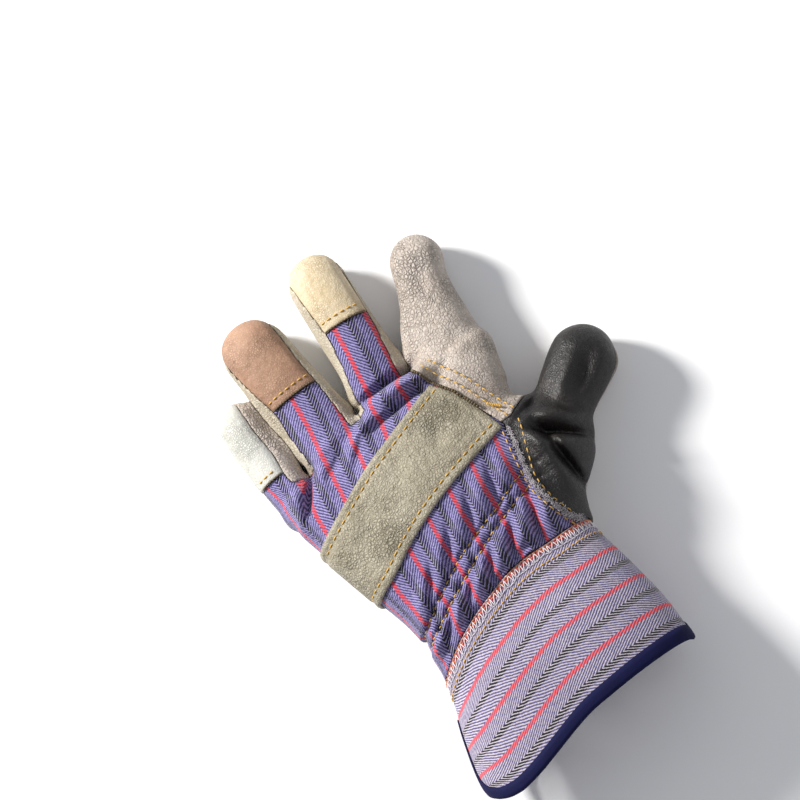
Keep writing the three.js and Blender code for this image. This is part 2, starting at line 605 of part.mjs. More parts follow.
// The main body of a cut, without the crumbs that grazing faces leave
const mainBody = (solid) => solid.decompose().reduce(
  (main, other) => (other.volume() > main.volume() ? other : main));

function meshOf(name, solid, material) {
  const { vertProperties, triVerts } = mainBody(solid).getMesh();
  const geometry = new THREE.BufferGeometry();
  geometry.setAttribute('position', new THREE.BufferAttribute(new Float32Array(vertProperties), 3));
  geometry.setIndex(new THREE.BufferAttribute(new Uint32Array(triVerts), 1));
  geometry.computeVertexNormals();
  const surface = new THREE.MeshStandardMaterial({ metalness: 0, ...MATERIALS[material] });
  const mesh = new THREE.Mesh(geometry, surface);
  mesh.name = name;
  return mesh;
}

const glove = new THREE.Group();
glove.add(
  meshOf('palm_leather', palmLeather, 'cream_leather'),
  meshOf('middle_finger_front', middleFront, 'tan_leather'),
  meshOf('ring_finger_front', ringFront, 'tan_leather'),
  meshOf('finger_welt', fingerWelt, 'welt_suede'),
  meshOf('back_cloth', backCloth, 'back_cotton'),
  meshOf('middle_fingertip', middleFingertip, 'ivory_leather'),
  meshOf('ring_fingertip', ringFingertip, 'brown_leather'),
  meshOf('little_fingertip', littleFingertip, 'white_leather'),
  meshOf('knuckle_strap', knuckleStrap, 'strap_leather'),
  meshOf('thumb_back', thumbBack, 'thumb_leather'),
  meshOf('cuff', cuff, 'cuff_cotton'),
  meshOf('cuff_binding', cuffBinding, 'navy_tape'),
);

export default glove;
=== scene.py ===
import bpy
import numpy as np
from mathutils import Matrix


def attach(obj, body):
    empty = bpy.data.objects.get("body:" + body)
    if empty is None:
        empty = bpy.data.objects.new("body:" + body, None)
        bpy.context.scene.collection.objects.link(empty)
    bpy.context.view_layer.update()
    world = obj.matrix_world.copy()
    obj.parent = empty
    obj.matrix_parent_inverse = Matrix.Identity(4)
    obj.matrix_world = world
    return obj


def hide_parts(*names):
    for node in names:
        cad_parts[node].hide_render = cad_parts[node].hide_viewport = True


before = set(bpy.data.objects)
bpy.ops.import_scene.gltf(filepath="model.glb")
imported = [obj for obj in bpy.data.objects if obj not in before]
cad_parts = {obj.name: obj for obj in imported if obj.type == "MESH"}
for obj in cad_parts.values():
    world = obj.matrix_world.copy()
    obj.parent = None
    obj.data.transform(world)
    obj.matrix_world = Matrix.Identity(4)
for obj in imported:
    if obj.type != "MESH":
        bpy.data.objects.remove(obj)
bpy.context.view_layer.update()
MM = 0.001

# Studio
# A plain pale floor under a wide soft light, and the camera almost straight above the back of the glove,
# tipped a little towards the cuff and rolled so that the fingers point up and to the left.
VIEW_TILT = np.radians(15.0)
VIEW_ROLL = np.radians(-30.5)
VIEW_DISTANCE = 6.0
VIEW_WIDTH = 0.384
VIEW_TARGET = np.array([0.0127, 0.0615, 0.0])
SENSOR = 36.0


def aim(thing, place, right, up, back):
    """Puts a lamp or camera at a place, with its own axes along right, up and back."""
    matrix = np.eye(4)
    matrix[:3, 0], matrix[:3, 1], matrix[:3, 2], matrix[:3, 3] = right, up, back, place
    thing.matrix_world = matrix.T.tolist()


def add_camera():
    """The camera looks along its own -Z from VIEW_DISTANCE, rolled about that axis."""
    data = bpy.data.cameras.new("studio_camera")
    data.sensor_width = SENSOR
    data.lens = SENSOR * VIEW_DISTANCE / VIEW_WIDTH
    data.clip_start, data.clip_end = VIEW_DISTANCE / 100, VIEW_DISTANCE * 3
    camera = bpy.data.objects.new("studio_camera", data)
    bpy.context.scene.collection.objects.link(camera)
    back = np.array([0.0, -np.sin(VIEW_TILT), np.cos(VIEW_TILT)])
    up = np.array([0.0, np.cos(VIEW_TILT), np.sin(VIEW_TILT)])
    right = np.array([1.0, 0.0, 0.0])
    roll_right = right * np.cos(VIEW_ROLL) + up * np.sin(VIEW_ROLL)
    roll_up = up * np.cos(VIEW_ROLL) - right * np.sin(VIEW_ROLL)
    aim(camera, VIEW_TARGET + back * VIEW_DISTANCE, roll_right, roll_up, back)
    bpy.context.scene.camera = camera
    bpy.context.scene.view_settings.view_transform = "Standard"


def add_light(name, direction, distance, size, power, colour):
    """A square soft light in a direction from the glove, facing it."""
    data = bpy.data.lights.new(name, "AREA")
    data.size, data.energy, data.color = size, power, colour
    light = bpy.data.objects.new(name, data)
    bpy.context.scene.collection.objects.link(light)
    back = np.array(direction) / np.linalg.norm(direction)
    right = np.cross([0.0, 1.0, 0.0], back)
    right /= np.linalg.norm(right)
    aim(light, np.array([0.02, 0.0, 0.0]) + back * distance, right, np.cross(back, right), back)


add_camera()
add_light("key_light", (-0.8, 0.9, 0.75), 1.4, 0.26, 33.0, (1.0, 0.985, 0.96))
add_light("fill_light", (0.7, -0.4, 1.0), 1.6, 1.2, 2.4, (0.95, 0.97, 1.0))
world = bpy.data.worlds.new("studio_world")
bpy.context.scene.world = world
world.use_nodes = True
world.node_tree.nodes["Background"].inputs["Color"].default_value = (0.93, 0.95, 1.0, 1.0)
world.node_tree.nodes["Background"].inputs["Strength"].default_value = 0.42


class Value:
    """A number socket of a material. Sums, products and powers of these add Math nodes."""

    def __init__(self, paint, socket):
        self.paint, self.socket = paint, socket

    def math(self, operation, *others):
        return self.paint.add("ShaderNodeMath", {"operation": operation}, self, *others)

    def __add__(self, other):
        return self.math("ADD", other)

    def __radd__(self, other):
        return self.math("ADD", other)

    def __sub__(self, other):
        return self.math("SUBTRACT", other)

    def __rsub__(self, other):
        return self.paint.add("ShaderNodeMath", {"operation": "SUBTRACT"}, other, self)

    def __mul__(self, other):
        return self.math("MULTIPLY", other)

    def __rmul__(self, other):
        return self.math("MULTIPLY", other)

    def __truediv__(self, other):
        return self.math("DIVIDE", other)

    def __pow__(self, other):
        return self.math("POWER", other)


class Paint:
    """One material's nodes, built as expressions."""

    def __init__(self, name, roughness):
        self.material = bpy.data.materials.new(name)
        self.material.use_nodes = True
        self.tree = self.material.node_tree
        self.shader = self.tree.nodes["Principled BSDF"]
        self.shader.inputs["Roughness"].default_value = roughness

    def add(self, kind, settings, *values, out=0, **named):
        """Adds a node: its settings first, then its sockets by place or by name; returns one output."""
        node = self.tree.nodes.new(kind)
        for key, setting in settings.items():
            setattr(node, key, setting)
        pairs = list(enumerate(values)) + [(key.replace("_", " "), value) for key, value in named.items()]
        for key, value in pairs:
            socket = node.inputs[key]
            if isinstance(value, Value):
                self.tree.links.new(value.socket, socket)
            elif value is not None:
                socket.default_value = (*value, 1.0) if socket.type == "RGBA" else value
        return Value(self, node.outputs[out])

    def mix(self, factor, first, second):
        """A colour between two, by a factor."""
        node = self.tree.nodes.new("ShaderNodeMix")
        node.data_type = "RGBA"
        for key, value in ((0, factor), (6, first), (7, second)):
            if isinstance(value, Value):
                self.tree.links.new(value.socket, node.inputs[key])
            else:
                node.inputs[key].default_value = (*value, 1.0) if key else value
        return Value(self, node.outputs[2])

    def place(self):
        """Object coordinates, in metres."""
        return self.add("ShaderNodeTexCoord", {}, out="Object")

    def attribute(self, name):
        """A value per corner that the mesh carries."""
        return self.add("ShaderNodeAttribute", {"attribute_name": name}, out="Vector")

    def noise(self, vector, size_mm, detail=3.0, roughness=0.55):
        """Noise whose blobs are about size_mm across, about 0.5 on average."""
        return self.add("ShaderNodeTexNoise", {}, out=0, Vector=vector, Scale=1.0 / (size_mm * MM),
                        Detail=detail, Roughness=roughness)

    def bump(self, height, depth_mm, strength=1.0, normal=None):
        """A Bump node on a height from 0 to 1, depth_mm deep."""
        return self.add("ShaderNodeBump", {}, Strength=strength, Distance=depth_mm * MM, Height=height,
                        Normal=normal)

    def finish(self, colour, roughness=None, normal=None):
        """Joins the results to the shader and returns the material."""
        for key, value in (("Base Color", colour), ("Roughness", roughness), ("Normal", normal)):
            if isinstance(value, Value):
                self.tree.links.new(value.socket, self.shader.inputs[key])
            elif value is not None:
                self.shader.inputs[key].default_value = (*value, 1.0) if key == "Base Color" else value
        return self.material


def linear(red, green, blue):
    """A colour given as 0 to 255 screen values, as linear light."""
    share = np.array([red, green, blue]) / 255.0
    light = np.where(share < 0.04045, share / 12.92, ((share + 0.055) / 1.055) ** 2.4)
    return tuple(light.tolist())


def add_mesh(name, points, faces, material, attributes=None):
    """A mesh object from arrays: points in mm, faces as rows of three or four corners."""
    mesh = bpy.data.meshes.new(name)
    faces = np.asarray(faces, np.int32)
    mesh.vertices.add(len(points))
    mesh.vertices.foreach_set("co", (np.asarray(points, np.float32) * MM).ravel())
    mesh.loops.add(faces.size)
    mesh.loops.foreach_set("vertex_index", faces.ravel())
    mesh.polygons.add(len(faces))
    mesh.polygons.foreach_set("loop_start", np.arange(len(faces), dtype=np.int32) * faces.shape[1])
    mesh.update(calc_edges=True)
    mesh.polygons.foreach_set("use_smooth", np.full(len(faces), True))
    for key, values in (attributes or {}).items():
        layer = mesh.attributes.new(key, "FLOAT_VECTOR", "POINT")
        layer.data.foreach_set("vector", np.asarray(values, np.float32).ravel())
    mesh.materials.append(material)
    mesh.validate()
    thing = bpy.data.objects.new(name, mesh)
    bpy.context.scene.collection.objects.link(thing)
    return thing


def add_floor():
    """A pale square under everything, a hair below the glove."""
    size = 3000.0
    corners = np.array([[-size, -size], [size, -size], [size, size], [-size, size]])
    points = np.column_stack([corners, np.full(4, -0.05)])
    paint = Paint("pale_floor", 0.7)
    speck = paint.noise(paint.place(), 40.0)
    colour = paint.mix(speck, (0.93, 0.93, 0.94), (0.95, 0.95, 0.95))
    add_mesh("floor", points, [[0, 1, 2, 3]], paint.finish(colour))


add_floor()

# Back cloth
# One piece of striped cotton drill: the back of the hand and strips up the middle, ring and little fingers.
# It is sewn to the hide at the sides, gathered by two rows of elastic, and rolled up at the knuckles.
STEP = 0.85
WALL = 1.6
SEAM_GAP = 0.0
SIDE_SEAM = 14.0
SIDE_POWER = 2.35
UNDER_FULLNESS = 1.12
# Sections of cuff and hand as one tube: y at the middle, x, half width, height, turn in degrees
BODY = np.array([
    [-131.4, 14.5, 62.5, 57.0, 10.0], [-112.1, 14.0, 61.5, 56.4, 12.5], [-90.0, 13.0, 58.0, 54.7, 16.0],
    [-62.4, 12.0, 52.25, 50.0, 20.0], [-44.4, 11.6, 50.5, 47.7, 20.0], [-27.6, 9.75, 51.25, 47.25, 19.5],
    [-10.8, 7.0, 53.9, 46.8, 18.5], [10.8, 4.0, 58.1, 45.0, 16.0], [27.6, 2.1, 61.4, 42.3, 14.5],
    [44.4, 1.5, 62.5, 37.4, 13.0], [54.6, 0.0, 58.75, 31.1, 12.5], [58.8, -1.25, 52.5, 22.5, 12.5],
])
# Where the sections start to close past the knuckles, and how they slant over the palm's middle, in degrees
PALM_END, PALM_MIDDLE, PALM_SLANT = 49.0, 8.0, 17.0
# Stalls: base x, y, lean, length, width, height, root, then rows of along, side, half, high as shares
# of length, width, width and height. Windows are rows of along, left, right as shares of the half width.
STALLS = {
    "little": dict(
        base=(-53.0, 38.0), lean=-6.6, length=61.0, width=22.0, high=24.0, root=12.0, hem=0.25, rows=[
        [0.00, 0.00, 0.50, 1.10], [0.20, -0.05, 0.48, 1.02], [0.45, -0.01, 0.52, 1.00],
        [0.68, -0.045, 0.475, 1.00], [0.88, -0.015, 0.45, 0.94], [1.00, 0.00, 0.42, 0.88]],
        window=[[0.0, -1.6, 0.30], [0.45, -1.6, 0.28], [0.68, -1.6, 0.33], [1.0, -1.6, 0.36]]),
    "ring": dict(
        base=(-26.0, 52.0), lean=-7.9, length=78.4, width=33.5, high=28.0, root=12.0, hem=0.40, rows=[
        [0.00, 0.02, 0.50, 1.10], [0.20, 0.02, 0.51, 1.02], [0.38, 0.01, 0.51, 0.97],
        [0.55, -0.015, 0.50, 0.98], [0.75, -0.024, 0.49, 0.96], [1.00, -0.036, 0.46, 0.90]],
        window=[[0.0, -0.86, 0.70], [0.20, -0.82, 0.70], [0.38, -0.73, 0.73], [0.55, -0.80, 0.76],
                [0.75, -0.90, 0.82], [1.0, -0.92, 0.86]]),
    "middle": dict(
        base=(9.0, 58.0), lean=-1.4, length=83.7, width=29.5, high=28.0, root=12.0, hem=0.525, rows=[
        [0.00, 0.00, 0.52, 1.05], [0.14, -0.02, 0.535, 0.97], [0.29, 0.00, 0.51, 1.00],
        [0.50, -0.012, 0.497, 0.98], [0.72, -0.02, 0.49, 0.98], [1.00, -0.017, 0.47, 0.90]],
        window=[[0.0, -0.86, 0.64], [0.14, -0.82, 0.66], [0.29, -0.76, 0.74], [0.50, -0.66, 0.88],
                [0.72, -0.74, 0.92], [1.0, -0.88, 0.90]]),
    "index": dict(
        base=(44.0, 48.0), lean=8.0, length=79.0, width=27.0, high=29.0, root=12.0, rows=[
        [0.00, -0.10, 0.72, 1.14], [0.25, -0.107, 0.711, 1.03], [0.43, -0.115, 0.637, 1.00],
        [0.57, -0.074, 0.53, 0.97], [0.70, -0.048, 0.474, 0.95], [0.82, 0.00, 0.485, 0.93],
        [1.00, 0.01, 0.44, 0.86]]),
    "thumb": dict(
        base=(45.25, -7.8), lean=56.0, length=81.0, width=31.0, high=32.0, root=12.0, rows=[
        [0.00, 0.10, 0.60, 1.16], [0.27, 0.10, 0.645, 1.20], [0.38, 0.04, 0.56, 1.00],
        [0.48, 0.026, 0.47, 0.94], [0.60, -0.006, 0.485, 0.98], [0.73, -0.026, 0.52, 0.97],
        [1.00, -0.06, 0.47, 0.88]]),
    "ball": dict(
        base=(44.0, -48.0), lean=0.0, length=76.0, width=75.0, high=40.0, root=0.0, rows=[
        [0.00, 0.00, 0.20, 0.90], [0.13, 0.00, 0.225, 0.96], [0.26, 0.00, 0.285, 1.00],
        [0.36, 0.00, 0.355, 1.00], [0.47, 0.00, 0.455, 0.98], [0.58, 0.00, 0.490, 0.97],
        [0.68, 0.00, 0.450, 0.97], [0.82, 0.00, 0.350, 0.95], [1.00, 0.00, 0.260, 0.90]]),
}
WIDEST_TIP, TIP_ROUNDING = 32.0, 0.48
# How far the window in a finger's back reaches, as a share of its length, and how round its end is, of width
WINDOW_END, WINDOW_ROUNDING = 1.1, 0.46
WRIST_SEAM = np.array([[-75, -94.8], [-37.5, -78], [-20, -66.6], [0, -57], [13.75, -51.6], [27.5, -48.6],
                       [41.25, -47.4], [60, -43.8], [94, -39.6]])
THUMB_SEAM = [[59, -48], [55, -42.5], [50, -32], [47.5, -22], [47.5, -8.4], [49.7, 14.3]]
INDEX_HEM = [[49.7, 14.3], [43.3, 27.2], [36.7, 41], [30, 51.6], [25, 60], [24, 67.8]]
KNUCKLE_LINE = [[-9, 56.4], [-45, 46.2], [-100, 46.2]]
# The elastic's two rows of stitches across the back, x and y
ELASTIC = [[[-38, -56], [-20, -44.5], [3.3, -30.5], [26.7, -20], [46, -10]],
           [[-35, -61], [-18, -51], [3.3, -38.5], [25, -27], [47.5, -17]]]
# Folds of the back: x, y, turn in degrees, half length, half width, rise, all in mm
FOLDS = [
    # the roll at the knuckles and the creases beside it
    [13, 58, 3, 15, 4.6, 10.5], [-10, 49, 45, 11, 3.8, 6.8], [10, 65.5, 8, 13, 2.2, -8.0],
    [9, 50, 12, 16, 2.2, -6.0], [-16, 41.5, 50, 10, 2.4, -3.6], [22, 51, -30, 7, 2.0, -2.6],
    [27, 57, 60, 7, 3.0, 3.0], [-30, 50, 20, 9, 4.0, 2.4], [-27, 43, 35, 8, 2.2, -2.4],
    [-46, 39, 58, 12, 2.3, -4.0], [-55, 36, 78, 13, 4.0, 3.0], [-38, 40, 70, 12, 3.4, 2.2],
    # puffs between the elastic and the wrist seam, and the creases between them
    [-29, -62, 35, 6, 4.0, 4.0], [-14, -55, 38, 8, 4.6, 6.5], [3, -47, 46, 8, 4.6, 7.0],
    [17, -42, 62, 9, 4.8, 7.5], [32, -37, 66, 9, 4.6, 7.0], [45, -36, 80, 8, 4.2, 5.0],
    [-21, -58, 50, 8, 1.9, -4.4], [-5, -50, 52, 9, 1.9, -5.0], [10, -44, 58, 10, 1.9, -5.4],
    [24.5, -38, 64, 10, 1.9, -5.4], [39, -35, 75, 9, 1.9, -4.4],
    [9, -52, 20, 6, 1.8, -2.4], [29, -45, 15, 6, 1.8, -2.4], [-9, -60, 18, 6, 1.8, -2.2],
    # slack above the elastic, and dents under the strap
    [37, -7, 78, 9, 4.4, 3.4], [22, -12, 72, 9, 4.4, 3.6], [6, -20, 66, 9, 4.4, 3.4],
    [-10, -28, 60, 9, 4.4, 3.2], [-25, -39, 55, 8, 4.0, 2.8], [30, -10, 75, 10, 2.0, -3.0],
    [14, -16, 70, 10, 2.0, -3.2], [-2, -24, 62, 10, 2.0, -3.2], [-18, -34, 58, 9, 2.0, -3.0],
    [43, -16, 80, 8, 2.0, -2.4], [20, 26, 60, 7, 5.0, -2.2], [-5, 22, 70, 9, 6.0, -1.6],
    [-30, 4, 62, 10, 6.0, -1.6],
    # the thumb: a ridge and a crease across its root, the bulge below, and the hollow beside the flap
    [72, 7, -32, 11, 3.8, 4.6], [69, 0.5, -32, 11, 2.4, -7.0], [66, -6, -34, 7, 3.6, 3.0],
    [66, -10, 97, 16, 2.4, -5.5], [59.5, -7, 97, 20, 3.6, 3.0], [88, 23, 40, 12, 4.0, 2.6],
    [94, 20, 40, 11, 4.0, -2.8], [83, 12, -50, 7, 3.2, 2.2], [63, 17, 30, 8, 2.2, -2.4],
    # soft dents of the index hide
    [40, 58, 40, 12, 4.0, -1.8], [48, 68, 75, 14, 6.0, 0.8],
    [50, 100, 60, 9, 4.0, -1.0],
]


def smooth_rows(table, places):
    """Reads every column of a table at any places by cubic Hermite curves through its rows."""
    table = np.asarray(table, float)
    knots, values = table[:, 0], table[:, 1:]
    slopes = np.gradient(values, knots, axis=0)
    inside = np.clip(places, knots[0], knots[-1])
    low = np.clip(np.searchsorted(knots, inside) - 1, 0, len(knots) - 2)
    span = (knots[low + 1] - knots[low])[..., None]
    t = (inside - knots[low])[..., None] / span
    h0, h1 = (1 + 2 * t) * (1 - t) ** 2, t * t * (3 - 2 * t)
    g0, g1 = t * (1 - t) ** 2, t * t * (t - 1)
    return h0 * values[low] + g0 * span * slopes[low] + h1 * values[low + 1] + g1 * span * slopes[low + 1]


def smooth_step(value, low, high):
    """0 below low, 1 above high, eased between."""
    share = np.clip((value - low) / (high - low), 0.0, 1.0)
    return share * share * (3 - 2 * share)


def soft_max(first, second, width):
    """The greater of two fields, rounded over width where they are close."""
    near = np.maximum(width - np.abs(first - second), 0.0) / width
    return np.maximum(first, second) + near * near * width * 0.25


def soft_min(first, second, width):
    """The lesser of two fields, rounded over width where they are close."""
    return -soft_max(-first, -second, width)


def stall_axes(stall):
    """Unit vectors along and across a stall's lean, on the floor."""
    lean = np.radians(stall["lean"])
    return np.array([np.sin(lean), np.cos(lean)]), np.array([np.cos(lean), -np.sin(lean)])


def stall_place(stall, x, y):
    """How far along and across its axis a place lies, in mm."""
    along, across = stall_axes(stall)
    dx, dy = x - stall["base"][0], y - stall["base"][1]
    return dx * along[0] + dy * along[1], dx * across[0] + dy * across[1]


def tube_field(across, half, high, z, past):
    """A tube lying on the floor, zero on its skin. Its section is a superellipse of half width and height,
    fuller below its middle. Past its end the distance past joins in as a third axis, which rounds it."""
    middle = (high / 2)[..., None]
    upright = np.where(z > middle, z - middle, (middle - z) / UNDER_FULLNESS)
    ring = (np.abs(across / half) ** SIDE_POWER)[..., None] + np.abs(upright / middle) ** SIDE_POWER
    radius = np.sqrt(ring ** (2 / SIDE_POWER) + (past ** 2)[..., None])
    return (radius - 1) * middle


def fold_rise(x, y):
    """How far the folds and the gathers of the elastic lift the back at a place."""
    rise = np.zeros_like(x)
    for fold_x, fold_y, turn, long, wide, height in FOLDS:
        c, s = np.cos(np.radians(turn)), np.sin(np.radians(turn))
        along, across = (x - fold_x) * c + (y - fold_y) * s, (y - fold_y) * c - (x - fold_x) * s
        rise += height * np.exp(-(along / long) ** 2 - (across / wide) ** 2)
    return rise


def wrist_at(x):
    """The wrist seam's y at each x."""
    return smooth_rows(WRIST_SEAM, x)[..., 0]


def elastic_gathers(x, y):
    """The cloth is pinched along the elastic's rows, puckered between them and slack on both sides."""
    rise = np.zeros_like(x)
    for row, phase in zip(ELASTIC, (0.0, 2.1)):
        away = y - smooth_rows(np.array(row, float), x)[..., 0]
        rise -= (2.0 + 0.9 * np.cos(x * 1.05 + phase)) * np.exp(-(away / 1.5) ** 2)
        rise += 1.0 * np.cos(x * 0.62 + phase + 0.12 * away) * np.exp(-((away + 3.8) / 3.2) ** 2)
    return rise * np.exp(-((x - 6) / 46) ** 6)


def hand_field(x, y, z):
    """The outer skin of the hand as one field, about the distance in mm: soft union of tubes and folds."""
    section = y - (x - PALM_MIDDLE) * np.tan(np.radians(PALM_SLANT))
    for _ in range(3):
        found = smooth_rows(BODY, section)
        section = y - (x - found[..., 0]) * np.tan(np.radians(found[..., 3]))
    found = smooth_rows(BODY, section)
    turn = np.radians(found[..., 3])
    past = np.maximum(section - PALM_END, 0.0) / 10.0 + np.maximum(BODY[0][0] - section, 0.0) / 40.0
    field = tube_field((x - found[..., 0]) / np.cos(turn), found[..., 1], found[..., 2], z, past)
    owners = {}
    for name, stall in STALLS.items():
        along, across = stall_place(stall, x, y)
        row = smooth_rows(stall["rows"], along / stall["length"])
        half, high = row[..., 1] * stall["width"], row[..., 2] * stall["high"]
        centre = across - row[..., 0] * stall["width"]
        rounding = min(stall["width"], WIDEST_TIP) * TIP_ROUNDING
        past = (np.maximum(along - stall["length"] + rounding, 0.0) / rounding
                + np.maximum(-along - stall["root"] + 8.0, 0.0) / 8.0)
        owners[name] = (np.abs(centre) / half, half)
        tube = tube_field(centre, half, high, z, past)
        field = soft_min(field, tube, 10.0 if name in ("thumb", "ball") else 5.0)
    rise = fold_rise(x, y) + elastic_gathers(x, y)
    field = field - rise[..., None] * smooth_step(z, 9.0, 22.0)
    return field, owners


xs = np.arange(-77.0, 122.0, STEP)
ys = np.arange(-98.0, 149.0, STEP)
zs = np.arange(-1.7, 60.0, STEP)
plan_x, plan_y = np.meshgrid(xs, ys, indexing="ij")
skin, owners = hand_field(plan_x, plan_y, zs[None, None, :])
steep = np.sqrt(sum(part ** 2 for part in np.gradient(skin, STEP)))
skin = (skin / np.maximum(steep, 0.35)).astype(np.float32)
skin = soft_max(skin, -zs[None, None, :], 1.5)


def outline_distance(outline, x, y):
    """Distance in mm from an anticlockwise outline, less than zero inside it."""
    outline = np.asarray(outline, float)
    best = np.full(x.shape, 1e9)
    inside = np.zeros(x.shape, bool)
    for (ax, ay), (bx, by) in zip(outline, np.roll(outline, -1, axis=0)):
        dx, dy = bx - ax, by - ay
        share = np.clip(((x - ax) * dx + (y - ay) * dy) / (dx * dx + dy * dy), 0, 1)
        best = np.minimum(best, np.hypot(x - ax - share * dx, y - ay - share * dy))
        crossed = (ay > y) != (by > y)
        inside ^= crossed & (x < ax + (y - ay) * dx / (dy if dy else 1e-9))
    return np.where(inside, -best, best)


def smooth_line(points, count=24):
    """A curve through points: each coordinate a cubic of the length walked."""
    points = np.asarray(points, float)
    walked = np.concatenate([[0], np.cumsum(np.hypot(*np.diff(points, axis=0).T))])
    return smooth_rows(np.column_stack([walked, points]), np.linspace(0, walked[-1], count))


def window_distance(stall, x, y):
    """Distance from the window in a finger's back, rounded at the tip; and how far along each place is."""
    along, across = stall_place(stall, x, y)
    share = np.clip(along / stall["length"], 0, 1)
    row = smooth_rows(stall["rows"], share)
    edges = smooth_rows(stall["window"], share)
    left = (row[..., 0] + row[..., 1] * edges[..., 0]) * stall["width"]
    right = (row[..., 0] + row[..., 1] * edges[..., 1]) * stall["width"]
    reach = stall["width"] * WINDOW_ROUNDING
    past = np.maximum(along - (stall["length"] * WINDOW_END - reach), 0.0) / reach
    half = (right - left) / 2
    if edges[..., 0].max() < -1:
        half, left = right + 14.0, right * 0 - 28.0 - right
    radius = np.sqrt((np.abs(across - (left + right) / 2) / half) ** 2 + past ** 2)
    return (radius - 1) * half, along


cloth_outline = np.concatenate([
    [[-100, -150], [59, -150]], smooth_line(THUMB_SEAM), smooth_line(INDEX_HEM)[1:], KNUCKLE_LINE])
cloth_plan = outline_distance(cloth_outline, plan_x, plan_y)
tip_plans, tip_lifts = {}, {}
for name in ("middle", "ring", "little"):
    window, along = window_distance(STALLS[name], plan_x, plan_y)
    hem = STALLS[name]["hem"] * STALLS[name]["length"]
    rooted = np.maximum(window, -along - 3.0)
    cloth_plan = soft_min(cloth_plan, np.maximum(rooted, along - hem), 1.2)
    tip_plans[name] = np.maximum(window, hem - along)
    tip_lifts[name] = 0.2 + 0.8 * smooth_step(-window, 0.0, 3.0)
above = SIDE_SEAM - zs[None, None, :]
behind_wrist = (wrist_at(plan_x) - plan_y)[..., None]
cloth = np.maximum(cloth_plan[..., None], above)
tips = {name: np.maximum(plan[..., None], above) for name, plan in tip_plans.items()}


def surface_net(values):
    """Closed surface where a field is zero: a point in each crossed cell, at the mean of its crossings,
    and a four-sided face round each crossed grid edge, turned outwards."""
    inside = values < 0
    cells_shape = np.array(values.shape) - 1
    corners = np.array([[i, j, k] for i in (0, 1) for j in (0, 1) for k in (0, 1)])
    nx, ny, nz = cells_shape
    total = sum(inside[i:i + nx, j:j + ny, k:k + nz].astype(np.int8) for i, j, k in corners)
    cells = np.argwhere((total > 0) & (total < 8))
    number = np.full(cells_shape, -1, np.int32)
    number[tuple(cells.T)] = np.arange(len(cells))
    sums, counts = np.zeros((len(cells), 3)), np.zeros(len(cells))
    for first in corners:
        for axis in range(3):
            if first[axis]:
                continue
            second = first + np.eye(3, dtype=int)[axis]
            a, b = values[tuple((cells + first).T)], values[tuple((cells + second).T)]
            crossed = (a < 0) != (b < 0)
            share = np.where(crossed, a / np.where(crossed, a - b, 1.0), 0.0)
            sums += crossed[:, None] * (first + share[:, None] * (second - first))
            counts += crossed
    points = cells + sums / counts[:, None]
    quads = []
    for axis in range(3):
        one, two = (axis + 1) % 3, (axis + 2) % 3
        near = np.take(inside, range(cells_shape[axis]), axis)
        far = np.take(inside, range(1, cells_shape[axis] + 1), axis)
        edges = np.argwhere(near != far)
        keep = (edges[:, one] > 0) & (edges[:, two] > 0) & (edges[:, one] < cells_shape[one]) & (
            edges[:, two] < cells_shape[two])
        edges = edges[keep]
        steps = np.eye(3, dtype=int)
        ring = [edges, edges - steps[one], edges - steps[one] - steps[two], edges - steps[two]]
        quad = np.stack([number[tuple(cell.T)] for cell in ring], axis=1)
        leaving = near[tuple(edges.T)]
        quads.append(np.where(leaving[:, None], quad, quad[:, ::-1]))
    return points, np.concatenate(quads)


def relax(points, faces, passes=2):
    """Evens out the small steps of the grid: each point moves to its neighbours' mean and back out."""
    links = np.concatenate([faces[:, [0, 1]], faces[:, [1, 2]], faces[:, [2, 3]], faces[:, [3, 0]]])
    counts = np.bincount(links[:, 0], minlength=len(points)) + np.bincount(links[:, 1], minlength=len(points))
    for step in [0.5, -0.52] * passes:
        mean = np.zeros_like(points)
        for axis in range(3):
            mean[:, axis] = (np.bincount(links[:, 0], points[links[:, 1], axis], len(points))
                             + np.bincount(links[:, 1], points[links[:, 0], axis], len(points)))
        points = points + step * (mean / counts[:, None] - points)
    return points


def sheet_piece(name, region, lift, wall, material, attributes=None, extra=None):
    """A sheet of one wall on the hand form, cut to a region, its edges a little rounded."""
    lift = np.broadcast_to(np.asarray(lift, np.float32)[..., None] if np.ndim(lift) else lift, skin.shape)
    field = soft_max(skin - lift, lift - wall - skin, 0.4)
    field = soft_max(field, region + SEAM_GAP, 0.3)
    if extra is not None:
        field = soft_min(field, extra, 0.8)
    field = np.maximum(field, -zs[None, None, :])
    used = np.argwhere(field < 1.0)
    low, high = np.maximum(used.min(0) - 1, 0), used.max(0) + 2
    points, faces = surface_net(field[tuple(slice(a, b) for a, b in zip(low, high))])
    points = relax(points, faces)
    points = (points + low) * STEP + np.array([xs[0], ys[0], zs[0]])
    points[:, 2] = np.maximum(points[:, 2], 0.0)
    carried = {key: rule(points) for key, rule in (attributes or {}).items()}
    piece = add_mesh(f"{name}_skin", points, faces, material, attributes=carried)
    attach(piece, "root")
    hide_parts(name)
    return piece


